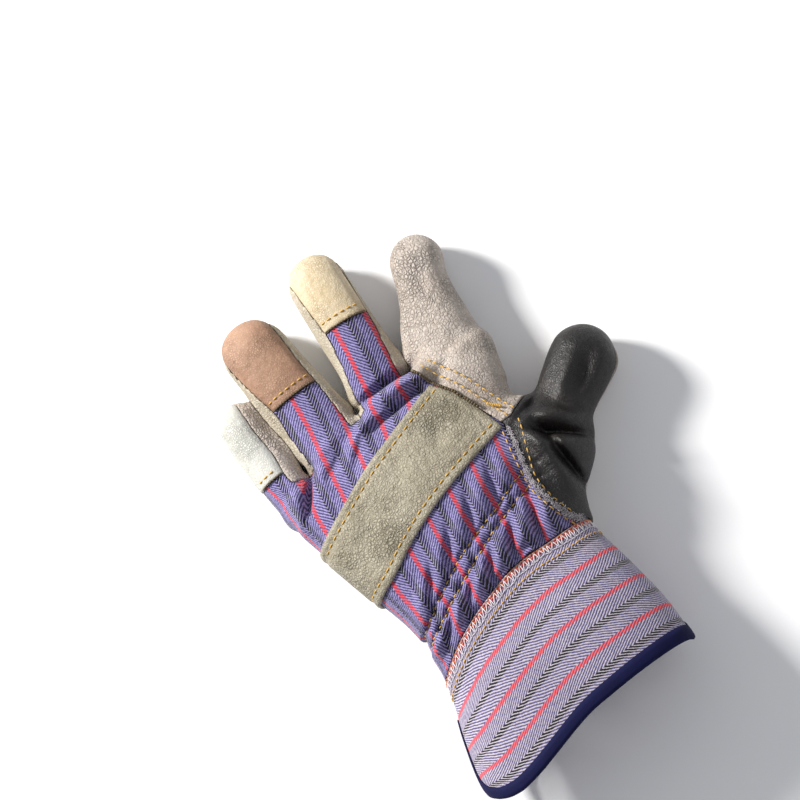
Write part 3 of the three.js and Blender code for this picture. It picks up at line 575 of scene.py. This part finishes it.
def drill(name, ground, light, red, black, stripe_mm, pitch_mm, steepness, black_half_mm, slub_share):
    """Herringbone drill: twill lines that turn at each stripe, red stripes, and black strokes midway.
    The weave attribute holds mm across and along the stripes."""
    paint = Paint(name, 0.9)
    paint.shader.inputs["Sheen Weight"].default_value = 0.15
    weave = paint.attribute("weave")
    across = paint.add("ShaderNodeSeparateXYZ", {}, weave, out=0)
    along = paint.add("ShaderNodeSeparateXYZ", {}, weave, out=1)
    across = across + (paint.noise(weave, 8.0 / MM) - 0.5) * 1.2 + (paint.noise(weave, 0.9 / MM) - 0.5) * 0.35
    zigzag = (across + 1.2).math("PINGPONG", stripe_mm / 2)
    twill = ((along + zigzag * steepness) / pitch_mm).math("FRACT")
    line = (twill - 0.5).math("ABSOLUTE") * 2.0
    yarn = paint.noise(weave, 0.32 / MM, 2.0, 0.7)
    slub = paint.noise(weave, 1.1 / MM, 3.0, 0.7)
    level = (line - 0.5) * 1.9 + 0.4 + (yarn - 0.5) * 2.4 + (slub - 0.5) * slub_share
    level = level.math("MINIMUM", 1.0).math("MAXIMUM", 0.0)
    patch = paint.noise(paint.place(), 12.0)
    base = paint.mix(patch, tuple(0.7 * v for v in ground), tuple(1.3 * v for v in ground))
    cloth_colour = paint.mix(level, base, light)
    from_red = ((across / stripe_mm + 0.5).math("FRACT") - 0.5).math("ABSOLUTE") * stripe_mm
    red_mask = (1 - (from_red - 0.85) / 0.35).math("MINIMUM", 1.0).math("MAXIMUM", 0.0)
    from_black = ((across / stripe_mm).math("FRACT") - 0.5).math("ABSOLUTE") * stripe_mm
    black_mask = (1 - (from_black - black_half_mm) / 0.4).math("MINIMUM", 1.0).math("MAXIMUM", 0.0)
    stroke = (1 - (line - 0.58 + (yarn - 0.5) * 0.8) / 0.2).math("MINIMUM", 1.0).math("MAXIMUM", 0.0)
    red_tone = paint.mix(level, red, tuple(min(1.0, 1.35 * v) for v in red))
    red_yarn = ((line - 0.3 + (yarn - 0.5) * 1.6) * 4.0).math("MINIMUM", 1.0).math("MAXIMUM", 0.3)
    colour = paint.mix(red_mask * red_yarn, cloth_colour, red_tone)
    colour = paint.mix(black_mask * stroke, colour, black)
    normal = paint.bump(line * 0.7 + yarn * 0.3, 0.35, 0.9)
    return paint.finish(colour, 0.9, normal)


def back_weave(points):
    """The stripes of the back run along Y, spread by the gathers and leaning with the fingers."""
    x, y = points[:, 0], points[:, 1]
    lean = np.clip((y - 48) / 30, 0, 1)
    left = np.clip((-8 - x) / 20, 0, 1)
    pull = 4.0 * np.exp(-((y + 50) / 16) ** 2) * (x - 12) / 50
    down_side = np.maximum(np.interp(y, [-60, 0, 40, 65], [38, 36, 28, 16]) - points[:, 2], 0.0)
    down_side = down_side * np.where(x < -15, -1.0, 1.0) * ((x < -15) | (x > 35)) * (y < 55)
    drift = (6.6 + 0.08 * x) * smooth_step(y, -5.0, 95.0) - lean * left * 0.02 * (y - 50)
    across = x - drift - 11.0 + pull + 0.12 * fold_rise(x, y) + down_side
    return np.column_stack([across, y, points[:, 2]])


back_cotton = drill("back_cotton", linear(50, 46, 88), linear(150, 141, 190), linear(198, 58, 64),
                    linear(10, 8, 15), 15.3, 1.95, 1.2, 1.7, 3.0)
back_cloth = sheet_piece("back_cloth", np.maximum(cloth, behind_wrist), 0.0, 1.3, back_cotton,
                         {"weave": back_weave})

# Fingertip patches
# Three pieces of soft hide in odd colours, sewn over the ends of the cloth strips: ivory on the middle
# finger, brown on the ring finger and off-white on the little one.


def hide(name, base, shade, light, grain_mm, roughness, grain_depth=0.28, wrinkle=0.35):
    """Grained hide: uneven colour, a pebble of rounded cells with painted shade in the grooves between them,
    fine pores and soft wrinkles.
    """
    paint = Paint(name, roughness)
    place = paint.place()
    cloud = paint.noise(place, 22.0, 4.0)
    fleck = paint.noise(place, 3.5, 3.0)
    colour = paint.mix(((cloud - 0.5) * 3.0 + 0.5).math("MINIMUM", 1.0).math("MAXIMUM", 0.0), shade, light)
    colour = paint.mix(0.45, colour, base)
    drift = paint.add("ShaderNodeTexNoise", {}, out=1, Vector=place, Scale=260.0, Detail=2.0)
    drift = paint.add("ShaderNodeVectorMath", {"operation": "SCALE"}, drift, Scale=0.0022)
    warped = paint.add("ShaderNodeVectorMath", {"operation": "ADD"}, place, drift)
    cells = paint.add("ShaderNodeTexVoronoi", {"feature": "DISTANCE_TO_EDGE"}, Vector=warped,
                      Scale=1.0 / (grain_mm * MM))
    pebble = (cells * 2.6).math("MINIMUM", 1.0) ** 0.7
    strength = ((paint.noise(place, 30.0) - 0.35) * 4.0).math("MINIMUM", 1.0).math("MAXIMUM", 0.5)
    pores = paint.noise(place, 0.5, 2.0)
    creases = paint.noise(warped, 5.0, 5.0, 0.65)
    # Painted shade: the grooves between the grain's cells are darkened towards a deep copy of the shade
    # colour, as if shadowed.
    colour = paint.mix((1 - pebble) * strength * 0.75, colour, tuple(0.4 * v for v in shade))
    colour = paint.mix(((fleck - 0.5) * 0.9 + 0.12).math("MAXIMUM", 0.0), colour, light)
    normal = paint.bump(pebble * strength * 0.8 + pores * 0.2, grain_depth, 1.0)
    normal = paint.bump(creases, 2.0, wrinkle, normal)
    rough = (1 - pebble) * 0.2 + roughness + (cloud - 0.5) * 0.15
    return paint.finish(colour, rough, normal)


TIP_LEATHERS = {
    "middle": ("ivory_leather", (214, 196, 160), (192, 168, 128), (230, 216, 190)),
    "ring": ("brown_leather", (164, 126, 100), (130, 92, 68), (186, 150, 124)),
    "little": ("white_leather", (200, 199, 190), (180, 179, 170), (214, 213, 205)),
}
for name, (leather, base, shade, light) in TIP_LEATHERS.items():
    material = hide(leather, linear(*base), linear(*shade), linear(*light), 1.1, 0.55, 0.2, 0.35)
    sheet_piece(f"{name}_fingertip", tips[name], tip_lifts[name], 2.0, material)

# Thumb back
# Dark, nearly black hide from the ball of the thumb to its tip, sewn to the cloth and to the index hide.
THUMB_OUTLINE = [[45, 15], [45, -60], [150, -60], [150, 72], [82, 41], [63, 23.4], [55, 16.8]]
thumb_plan = np.maximum(outline_distance(THUMB_OUTLINE, plan_x, plan_y), -cloth_plan)
thumb = np.maximum(thumb_plan[..., None], above)
thumb_leather = hide("thumb_leather", linear(17, 15, 14), linear(8, 8, 8), linear(42, 34, 30), 1.2, 0.38,
                     0.2, 0.5)
sheet_piece("thumb_back", np.maximum(thumb, behind_wrist), 0.2, WALL, thumb_leather)

# Finger fronts and welt
# The fronts and side walls of the middle and ring fingers are tan hide, sewn to the palm along a curved
# welt of grey suede.
WELT = np.array([[-46.5, 44.4], [-27.5, 44.4], [-7.5, 49.2], [12.5, 57], [25.6, 66]])
WELT_WIDTH = 4.5
welt_line = smooth_rows(WELT, plan_x)[..., 0]
past_welt = (welt_line + WELT_WIDTH / 2 - plan_y)[..., None]
welt = np.maximum(np.maximum(np.abs(plan_y - welt_line) - WELT_WIDTH / 2,
                             np.maximum(-46.5 - plan_x, plan_x - 25.6))[..., None], zs[None, None, :] - 9.0)
covered = np.minimum.reduce([cloth, thumb, *tips.values()])


def owned(name, *rivals):
    """A region of places nearer to one stall's axis than to its neighbours'."""
    own, half = owners[name]
    nearer = [(own - owners[rival][0]) * half * 0.5 for rival in rivals]
    return np.maximum.reduce([*nearer, (own - 1.5) * half])


fronts = {
    "middle": np.maximum(np.maximum(owned("middle", "ring", "index")[..., None], past_welt), -covered),
    "ring": np.maximum(np.maximum(owned("ring", "middle", "little")[..., None], past_welt), -covered),
}
tan_leather = hide("tan_leather", linear(188, 177, 156), linear(163, 149, 126), linear(206, 198, 180),
                   1.6, 0.55, 0.4)
for name, region in fronts.items():
    sheet_piece(f"{name}_finger_front", np.maximum(region, -welt), 0.0, WALL, tan_leather)
welt_suede = hide("welt_suede", linear(150, 155, 165), linear(130, 134, 142), linear(166, 170, 178),
                  0.8, 0.9)
sheet_piece("finger_welt", welt, 0.3, WALL, welt_suede)

# Palm leather
# One cream hide: the palm, all of the index finger, the fronts of the little finger and of the thumb, and
# the patch that laps over the cuff under the wrist.
PATCH_MIDDLE, PATCH_WIDTH, PATCH_LENGTH, PATCH_CORNER = 15.0, 80.0, 23.0, 11.0
palm = -np.minimum.reduce([covered, welt, fronts["middle"], fronts["ring"]])
patch_x = np.abs(plan_x - PATCH_MIDDLE) - PATCH_WIDTH / 2 + PATCH_CORNER
patch_y = wrist_at(plan_x) - PATCH_LENGTH + PATCH_CORNER - plan_y
patch = (np.hypot(np.maximum(patch_x, 0), np.maximum(patch_y, 0)) - PATCH_CORNER)[..., None]
patch = np.maximum(np.maximum(patch, (plan_y - wrist_at(plan_x) - 4.0)[..., None]),
                   np.abs(zs[None, None, :] - WALL / 2) - WALL / 2)
hem_outline = np.concatenate([smooth_line(INDEX_HEM), [[150, 68], [150, 14]]])
hem_edge = outline_distance(hem_outline, plan_x, plan_y)
hem_lift = 1.9 * smooth_step(-hem_edge, -2.0, 0.0) * smooth_step(-hem_edge, 16.0, 6.0)
hem_lift *= smooth_step(plan_y, 12.0, 20.0) * smooth_step(plan_y, 72.0, 58.0) * (cloth_plan > -1.5)
cream_leather = hide("cream_leather", linear(191, 177, 165), linear(162, 147, 133), linear(210, 200, 190),
                     1.7, 0.5, 0.8, 0.8)
sheet_piece("palm_leather", np.maximum(palm, behind_wrist), hem_lift * 0.5, WALL, cream_leather,
            extra=patch)

# Knuckle strap
# A straight strip of beige hide across the back, about 40 mm wide, laid on the cloth and sewn along both
# edges. Its thumb end runs under the hem of the index hide and its other end wraps the side of the hand.
STRAP_BACK = [[-100, -48], [-45, -28.2], [-33, -23.8], [-20, -16.2], [-6.75, -8.9], [10, -1.2], [26.75, 5.3],
              [48.5, 13.2]]
STRAP_FRONT = [[28.5, 51], [3.25, 39.7], [-15, 31.7], [-38, 19.3], [-58, 9], [-100, -7.2]]
strap_end = INDEX_HEM[1:3]
strap_outline = np.concatenate([smooth_line(STRAP_BACK), strap_end, smooth_line(STRAP_FRONT)])
strap_plan = outline_distance(strap_outline, plan_x, plan_y)
strap_lift = 2.1 - 0.55 * np.exp(-((strap_plan + 4.6) / 1.3) ** 2) - 0.7 * smooth_step(strap_plan, -2.5, 0.5)
strap_leather = hide("strap_leather", linear(156, 148, 126), linear(124, 114, 90), linear(184, 176, 156),
                     1.5, 0.5, 0.65, 0.8)
sheet_piece("knuckle_strap", np.maximum(strap_plan[..., None], above), strap_lift, 1.7, strap_leather)

# Cuff
# A flared tube of the same cotton drill, stiffened, its stripes running round. It is open down the little
# finger's side, and its mouth's corners there are rounded.
MOUTH_Y, CUFF_TOP_Y = BODY[0][0], BODY[3][0]
SLIT_HEIGHT, SLIT_LENGTH, SLIT_CORNER = 24.0, 52.0, 24.0
SLIT_MOUTH_HALF, SLIT_END_HALF = 4.5, 2.5
# The mouth's under side is drawn in, and its edge hangs out towards the little finger's side, less at the
# corner
MOUTH_HIGH, MOUTH_DRAW_IN, MOUTH_HANG, MOUTH_CORNER_RISE = BODY[0][3], 17.0, 6.6, 8.0
CUFF_WALL = 1.3
CUFF_ROWS, CUFF_COLUMNS = 96, 400


def signed_power(value, power):
    """A power that keeps the sign."""
    return np.sign(value) * np.abs(value) ** power


def cuff_ring(angle, station):
    """A place on the cuff's skin: the angle round the tube and the station along it."""
    row = smooth_rows(BODY, station)
    middle = row[..., 2] / 2
    turn = np.radians(row[..., 3])
    across = row[..., 1] * signed_power(np.cos(angle), 2 / SIDE_POWER)
    fullness = np.where(np.sin(angle) < 0, UNDER_FULLNESS, 1.0)
    z = middle + middle * signed_power(np.sin(angle), 2 / SIDE_POWER) * fullness
    x = row[..., 0] + across * np.cos(turn)
    back = smooth_step((CUFF_TOP_Y - station) / (CUFF_TOP_Y - MOUTH_Y), 0.0, 1.0)
    under = MOUTH_DRAW_IN * smooth_step(1 - z / MOUTH_HIGH, 0.4, 1.0)
    hang = MOUTH_HANG * smooth_step(22.0 - x, 0.0, 48.0) - MOUTH_CORNER_RISE * smooth_step(-x, 28.0, 54.0)
    y = station + across * np.sin(turn) + back * (under - hang)
    outside = np.maximum(np.maximum(np.abs(x - PATCH_MIDDLE) - PATCH_WIDTH / 2 - 8.0,
                                    wrist_at(x) - PATCH_LENGTH - 8.0 - y), 0.0)
    z = np.maximum(z, 1.9 * (1 - smooth_step(outside, 0.0, 9.0)))
    waves = 0.7 * np.sin(x / 7.0 + 0.06 * y) * np.sin(y / 11.0 + 1.0 + 0.05 * x) * smooth_step(z, 15.0, 35.0)
    return np.stack([x, y, z + waves * (1 - 0.7 * back)], axis=-1)


ring_angles = np.linspace(0, 2 * np.pi, 721)
slit_rise = (SLIT_HEIGHT - MOUTH_HIGH / 2) / (MOUTH_HIGH / 2 * UNDER_FULLNESS)
slit_angle = np.pi - np.arcsin(signed_power(slit_rise, SIDE_POWER / 2))
ring_places = cuff_ring(slit_angle - ring_angles, np.full(721, MOUTH_Y))
ring_walk = np.concatenate([[0], np.cumsum(np.linalg.norm(np.diff(ring_places, axis=0), axis=1))])
CUFF_ROUND = ring_walk[-1]


def cuff_place(walk, inset, lift=0.0):
    """A place by mm round the mouth from the slit, upwards first, and mm in from the mouth's edge; lifted
    along the skin's normal."""
    def skin_at(w, d):
        return cuff_ring(slit_angle - np.interp(w, ring_walk, ring_angles), MOUTH_Y + d)
    place = skin_at(walk, inset)
    one = skin_at(np.minimum(walk + 0.5, CUFF_ROUND), inset) - skin_at(np.maximum(walk - 0.5, 0), inset)
    two = skin_at(walk, inset + 0.5) - skin_at(walk, inset - 0.5)
    normal = np.cross(one, two)
    normal /= np.maximum(np.linalg.norm(normal, axis=-1, keepdims=True), 1e-6)
    return place + normal * np.asarray(lift)[..., None]


def seam_inset(walk):
    """How far in from the mouth the wrist seam lies."""
    inset = np.full(np.shape(walk), CUFF_TOP_Y - MOUTH_Y)
    for _ in range(8):
        place = cuff_place(walk, inset)
        inset = inset + 0.8 * (wrist_at(place[..., 0]) - 0.4 - place[..., 1])
    return inset


def slit_half(inset):
    """Half the width of the slit's opening, wide and round at the mouth."""
    corner = np.clip(1 - inset / SLIT_CORNER, 0, 1)
    marks = [SLIT_CORNER, SLIT_LENGTH - 3, SLIT_LENGTH]
    straight = np.interp(inset, marks, [SLIT_MOUTH_HALF, SLIT_END_HALF, 0.1])
    return straight + SLIT_CORNER * (1 - np.sqrt(1 - corner ** 2))


def shell_faces(rows, columns):
    """Faces of a closed sheet: an outer grid, an inner grid and the walls round their edges."""
    number = np.arange(rows * columns).reshape(rows, columns)
    grid = np.stack([number[:-1, :-1], number[:-1, 1:], number[1:, 1:], number[1:, :-1]], -1).reshape(-1, 4)
    inner = grid[:, ::-1] + rows * columns
    rim = np.concatenate([number[0, :-1], number[:-1, -1], number[-1, :0:-1], number[:0:-1, 0]])
    after = np.roll(rim, -1)
    wall = np.stack([after, rim, rim + rows * columns, after + rows * columns], -1)
    return np.concatenate([grid, inner, wall])


share_round, share_in = np.meshgrid(np.linspace(0, 1, CUFF_COLUMNS), np.linspace(0, 1, CUFF_ROWS))
cuff_depth = seam_inset(np.linspace(0, 1, CUFF_COLUMNS) * CUFF_ROUND)[None, :]
inset = share_in * cuff_depth
walk = slit_half(inset) + (CUFF_ROUND - 2 * slit_half(inset)) * share_round
outer = cuff_place(walk, inset, np.zeros(walk.shape))
inner = cuff_place(walk, inset, np.full(walk.shape, -CUFF_WALL))
inner[..., 2] = np.maximum(inner[..., 2], CUFF_WALL)
cuff_points = np.concatenate([outer.reshape(-1, 3), inner.reshape(-1, 3)])
stripes = np.stack([(1 - share_in) * 74.5 - 20.0, walk, share_in], -1).reshape(-1, 3)
cuff_cotton = drill("cuff_cotton", linear(74, 68, 116), linear(202, 192, 202), linear(220, 78, 76),
                    linear(8, 7, 10), 18.0, 2.6, 1.9, 1.2, 1.8)
cuff = add_mesh("cuff_skin", cuff_points, shell_faces(CUFF_ROWS, CUFF_COLUMNS), cuff_cotton,
                attributes={"weave": np.concatenate([stripes, stripes])})
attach(cuff, "root")
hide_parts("cuff")

# Cuff binding
# Navy cotton tape folded over the raw edge of the cuff, round its mouth, round both corners and up both
# sides of the slit.
# Its outer and inner profiles: mm in from the cloth's edge, mm off the cloth's middle
TAPE_PROFILE = np.array([[6.0, 1.35], [3.2, 1.5], [0.8, 1.4], [-0.5, 1.0], [-1.0, 0.0], [-0.5, -1.0],
                         [0.8, -1.4], [3.2, -1.5], [6.0, -1.35]])
TAPE_HOLLOW = np.array([[6.0, 0.72], [3.2, 0.72], [0.8, 0.72], [0.1, 0.6], [-0.15, 0.0], [0.1, -0.6],
                        [0.8, -0.72], [3.2, -0.72], [6.0, -0.72]])
corner_turn = np.linspace(0, np.pi / 2, 24)[:, None]
corner_middle = SLIT_MOUTH_HALF + SLIT_CORNER
up_slit = np.linspace([SLIT_END_HALF, SLIT_LENGTH], [SLIT_MOUTH_HALF, SLIT_CORNER], 40)
round_corner = np.hstack([corner_middle - SLIT_CORNER * np.cos(corner_turn),
                          SLIT_CORNER - SLIT_CORNER * np.sin(corner_turn)])
half_edge = np.concatenate([up_slit[:-1], round_corner[:-1]])
mouth_edge = np.column_stack([np.linspace(corner_middle, CUFF_ROUND - corner_middle, 260), np.zeros(260)])
other_half = (half_edge * [-1, 1] + [CUFF_ROUND, 0])[::-1]
edge = np.concatenate([half_edge, mouth_edge, other_half])
heading = np.gradient(edge, axis=0)
heading /= np.linalg.norm(heading, axis=1, keepdims=True)
inwards = np.column_stack([-heading[:, 1], heading[:, 0]])


def tape_ring(profile):
    """The profile carried along the edge: in from it along the skin, and off the cloth's middle."""
    spots = edge[:, None, :] + inwards[:, None, :] * profile[None, :, :1]
    lift = np.broadcast_to(profile[None, :, 1] - CUFF_WALL / 2, spots.shape[:2])
    return cuff_place(spots[..., 0], spots[..., 1], lift)


tape_points = np.concatenate([tape_ring(TAPE_PROFILE).reshape(-1, 3), tape_ring(TAPE_HOLLOW).reshape(-1, 3)])
tape_points[:, 2] = np.maximum(tape_points[:, 2], 0.0)
tape_paint = Paint("navy_tape", 0.82)
tape_paint.shader.inputs["Specular IOR Level"].default_value = 0.15
tape_place = tape_paint.place()
tape_ribs = tape_paint.noise(tape_place, 0.7, 2.0)
tape_cloud = tape_paint.noise(tape_place, 9.0)
tape_colour = tape_paint.mix(tape_cloud, linear(12, 13, 46), linear(20, 23, 68))
navy_tape = tape_paint.finish(tape_colour, 0.82, tape_paint.bump(tape_ribs, 0.25, 0.7))
binding = add_mesh("cuff_binding_skin", tape_points, shell_faces(len(edge), len(TAPE_PROFILE)), navy_tape)
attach(binding, "root")
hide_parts("cuff_binding")

# Stitches
# Golden thread in running rows: along the strap, the tips' hems, the index hem, the thumb seam, the elastic
# and the wrist. Each stitch is a short bent thread that dips into the piece at both ends.
ROD_TAPER = np.array([0.15, 0.8, 1.0, 1.0, 1.0, 0.8, 0.15])
ROD_ARCH = np.array([-0.5, 0.2, 0.7, 0.85, 0.7, 0.2, -0.5])
ROD_SIDES = 6


def rods(starts, ends, normals, radius):
    """Points and faces of many short arched threads at once, from start to end, arched along normals."""
    share = np.linspace(0, 1, len(ROD_TAPER))[None, :, None]
    middle = starts[:, None] * (1 - share) + ends[:, None] * share
    middle = middle + normals[:, None] * (ROD_ARCH * radius)[None, :, None]
    along = ends - starts
    along /= np.maximum(np.linalg.norm(along, axis=1, keepdims=True), 1e-6)
    side = np.cross(along, normals)
    angle = np.linspace(0, 2 * np.pi, ROD_SIDES, endpoint=False)
    rim = (side[:, None, None] * np.cos(angle)[None, None, :, None]
           + normals[:, None, None] * np.sin(angle)[None, None, :, None])
    points = middle[:, :, None] + rim * (ROD_TAPER * radius)[None, :, None, None]
    count, rings = len(starts), len(ROD_TAPER)
    number = np.arange(rings * ROD_SIDES).reshape(rings, ROD_SIDES)
    after = np.roll(number, -1, axis=1)
    one = np.stack([number[:-1], number[1:], after[1:], after[:-1]], -1).reshape(-1, 4)
    caps = np.array([[0, 1, 2, 3], [0, 3, 4, 5]])
    one = np.concatenate([one, caps, (caps + (rings - 1) * ROD_SIDES)[:, ::-1]])
    faces = one[None] + (np.arange(count) * rings * ROD_SIDES)[:, None, None]
    return points.reshape(-1, 3), faces.reshape(-1, 4)


top_lift = np.where(strap_plan < 0, strap_lift, 0.0)
for name, plan in tip_plans.items():
    top_lift = np.where(plan < 0, tip_lifts[name], top_lift)
index_top = (hem_edge < 0) & (cloth_plan > 0)
top_lift = np.where(index_top, hem_lift, top_lift)
lifted = skin - top_lift[..., None]
last = np.argmax((lifted < 0)[..., ::-1], axis=2)
level = np.clip(len(zs) - 1 - last, 0, len(zs) - 2)
near_value = np.take_along_axis(lifted, level[..., None], 2)[..., 0]
far_value = np.take_along_axis(lifted, level[..., None] + 1, 2)[..., 0]
part_way = near_value / np.minimum(near_value - far_value, -1e-3)
top_height = np.where((lifted < 0).any(2), zs[level] + STEP * part_way, 0)
top_slope_x, top_slope_y = np.gradient(top_height, STEP)


def read_map(values, x, y):
    """A map of the plan read between its points."""
    i, j = np.clip((x - xs[0]) / STEP, 0, len(xs) - 1.001), np.clip((y - ys[0]) / STEP, 0, len(ys) - 1.001)
    a, b = i.astype(int), j.astype(int)
    s, t = i - a, j - b
    return (values[a, b] * (1 - s) * (1 - t) + values[a + 1, b] * s * (1 - t)
            + values[a, b + 1] * (1 - s) * t + values[a + 1, b + 1] * s * t)


def on_back(x, y):
    """Places on the glove's back and their normals."""
    normal = np.column_stack([-read_map(top_slope_x, x, y), -read_map(top_slope_y, x, y), np.ones(len(x))])
    normal /= np.linalg.norm(normal, axis=1, keepdims=True)
    return np.column_stack([x, y, read_map(top_height, x, y)]), normal


def running_row(line, length, gap, radius, shift=0.0):
    """A row of stitches along a line on the back, shifted to its left."""
    curve = smooth_line(line, 400)
    tangent = np.gradient(curve, axis=0)
    tangent /= np.linalg.norm(tangent, axis=1, keepdims=True)
    curve = curve + shift * np.column_stack([-tangent[:, 1], tangent[:, 0]])
    places, normals = on_back(*curve.T)
    walked = np.concatenate([[0], np.cumsum(np.linalg.norm(np.diff(places, axis=0), axis=1))])
    begins = np.arange(0.4, walked[-1] - length, length + gap)

    def at(walk, values):
        return np.column_stack([np.interp(walk, walked, column) for column in values.T])
    middle = at(begins + length / 2, normals)
    on_top = at(begins, places)[:, 2] > 14.0
    begins, middle = begins[on_top], middle[on_top]
    lift = middle * radius * 0.35
    return rods(at(begins, places) + lift, at(begins + length, places) + lift, middle, radius)


def join(parts):
    """Several sets of points and faces as one."""
    shift, points, faces = 0, [], []
    for part_points, part_faces in parts:
        points.append(part_points)
        faces.append(part_faces + shift)
        shift += len(part_points)
    return np.concatenate(points), np.concatenate(faces)


def thread_material(name, colour):
    """Waxed twisted thread: a fine noise grain in colour and bumps across a slightly glossy strand."""
    paint = Paint(name, 0.5)
    grain = paint.noise(paint.place(), 0.35, 1.0)
    shade = paint.mix(grain, tuple(0.62 * v for v in colour), tuple(min(1.0, 1.25 * v) for v in colour))
    return paint.finish(shade, 0.5, paint.bump(grain, 0.15, 0.6))


def hem_line(name, share, inset):
    """A line across a finger's window at a share of its length."""
    stall = STALLS[name]
    row, edges = smooth_rows(stall["rows"], np.array(share)), smooth_rows(stall["window"], np.array(share))
    left = (row[0] + row[1] * max(edges[0], -0.95)) * stall["width"] + inset
    right = (row[0] + row[1] * edges[1]) * stall["width"] - inset
    along, across = stall_axes(stall)
    base = np.array(stall["base"]) + along * share * stall["length"]
    return [base + across * v for v in np.linspace(left, right, 5)]


# The dense bar of thread at the corner of strap, index hem and thumb
BARTACK = [[46.7, 27.9], [48.9, 25.9], [51.1, 23.9], [53.3, 21.9]]
SECOND_THUMB_ROW = [[57, 14], [55.5, 6], [52.5, -4.5], [49.8, -16.5], [51.5, -28], [57, -41]]
THREAD = 0.36
gold_rows = [
    running_row(STRAP_BACK[1:], 3.4, 1.1, THREAD, 4.6), running_row(STRAP_FRONT[:-1], 3.4, 1.1, THREAD, 4.6),
    running_row(INDEX_HEM[:-1], 3.2, 1.0, THREAD, -4.2), running_row(INDEX_HEM[:-1], 3.2, 1.0, THREAD, -9.0),
    running_row(THUMB_SEAM, 3.2, 1.1, THREAD, 2.2), running_row(SECOND_THUMB_ROW, 3.0, 1.1, THREAD),
    *[running_row(line, 3.0, 1.0, THREAD) for line in ELASTIC], running_row(BARTACK, 1.7, -0.8, 0.7),
    *[running_row(hem_line(name, STALLS[name]["hem"] + 0.055, 0.6), 2.8, 0.9, THREAD) for name in tip_plans],
]
gold = join(gold_rows)
seam_thread = add_mesh("seam_thread", *gold, thread_material("gold_thread", linear(216, 170, 78)))
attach(seam_thread, "root")

# Raw edges
# The cut edges show: a dark line of flesh side along the index hem and under each tip's hem, and the frayed
# grey edge of the cotton along the thumb seam.
raw_hems = [hem_line(name, STALLS[name]["hem"] + 0.004, 0.2) for name in tip_plans]
raw_rows = [running_row(INDEX_HEM[1:-1], 2.0, -0.6, 0.75, -0.2),
            *[running_row(line, 2.0, -0.4, 0.4) for line in raw_hems]]
raw_edge = add_mesh("raw_edge", *join(raw_rows), thread_material("raw_hide", linear(92, 76, 52)))
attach(raw_edge, "root")
chance = np.random.default_rng(7)
FRAY_LINE = [[57.5, -44], [54.5, -41.5], [49.8, -32], [47.6, -22], [47.6, -10], [49.5, 2], [50.5, 12]]
fray_path = smooth_line(FRAY_LINE, 200)
FRAY_COUNT = 1500
picked = (chance.uniform(0, 1, FRAY_COUNT) ** 1.3 * 199).astype(int)
thick = 1.5 - picked / 199.0
spread = chance.normal(0.0, 0.5, (FRAY_COUNT, 2)) * thick[:, None]
root_spot = fray_path[picked] + spread
tip_spot = root_spot + chance.normal(0.0, 0.8, (FRAY_COUNT, 2))
roots, fray_up = on_back(*root_spot.T)
tops, _ = on_back(*tip_spot.T)
roots += fray_up * (chance.uniform(0.1, 1.3, FRAY_COUNT) * thick)[:, None]
tops += fray_up * (chance.uniform(0.1, 1.6, FRAY_COUNT) * thick)[:, None]
fray = add_mesh("frayed_edge", *rods(roots, tops, fray_up, 0.16),
                thread_material("grey_fray", linear(172, 166, 170)))
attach(fray, "root")

# Wrist seam
# The cuff's upper edge is overlocked: white thread zigzags over the raw edge, with an orange thread along
# its top and one golden row under it.
OVERLOCK_PITCH, OVERLOCK_DEPTH = 3.4, 5.4
walks = np.arange(4.0, CUFF_ROUND - 4.0, OVERLOCK_PITCH)
walks = walks + chance.uniform(-0.7, 0.7, len(walks))
depths = seam_inset(walks)
low_walks = walks + OVERLOCK_PITCH * chance.uniform(0.2, 0.7, len(walks))
low_depths = depths - OVERLOCK_DEPTH + chance.uniform(-0.6, 0.8, len(walks))
off = np.full(len(walks), 0.3)
zig = (cuff_place(walks, depths - 0.6, off), cuff_place(low_walks, low_depths, off))
zag = (zig[1][:-1], zig[0][1:])
loops = (zig[1][:-1], zig[1][1:])
rise = cuff_place(walks, depths - 3.0, np.ones(len(walks))) - cuff_place(walks, depths - 3.0)
white = join([rods(*zig, rise, 0.26), rods(*zag, rise[:-1], 0.24), rods(*loops, rise[:-1], 0.22)])
overlock = add_mesh("overlock_thread", *white, thread_material("white_thread", linear(226, 220, 226)))
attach(overlock, "root")
edge_walks = np.arange(4.0, CUFF_ROUND - 4.0, 2.6)
edge_rows = []
for depth in (0.7, 2.2):
    row_inset = seam_inset(edge_walks) - depth
    row = cuff_place(edge_walks, row_inset, np.full(len(edge_walks), 0.3))
    row_up = cuff_place(edge_walks, row_inset, np.full(len(edge_walks), 1.3)) - row
    edge_rows.append(rods(row[:-1], row[1:], row_up[:-1], 0.26))
orange = thread_material("orange_thread", linear(216, 132, 70))
edge_thread = add_mesh("edge_thread", *join(edge_rows), orange)
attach(edge_thread, "root")
WRIST_ROW_DEPTH, WRIST_STITCH = 8.2, 3.1
begins = np.arange(5.0, CUFF_ROUND - 8.0, 3.6)
row_depth = seam_inset(begins + 1.5) - WRIST_ROW_DEPTH
row_rise = cuff_place(begins, row_depth, np.ones(len(begins))) - cuff_place(begins, row_depth)
proud = np.full(len(begins), 0.12)
row_from, row_to = [cuff_place(walked, seam_inset(walked) - WRIST_ROW_DEPTH, proud)
                    for walked in (begins, begins + WRIST_STITCH)]
wrist_gold = rods(row_from, row_to, row_rise, THREAD)
wrist_row = add_mesh("wrist_thread", *wrist_gold, thread_material("wrist_gold", linear(216, 170, 78)))
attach(wrist_row, "root")
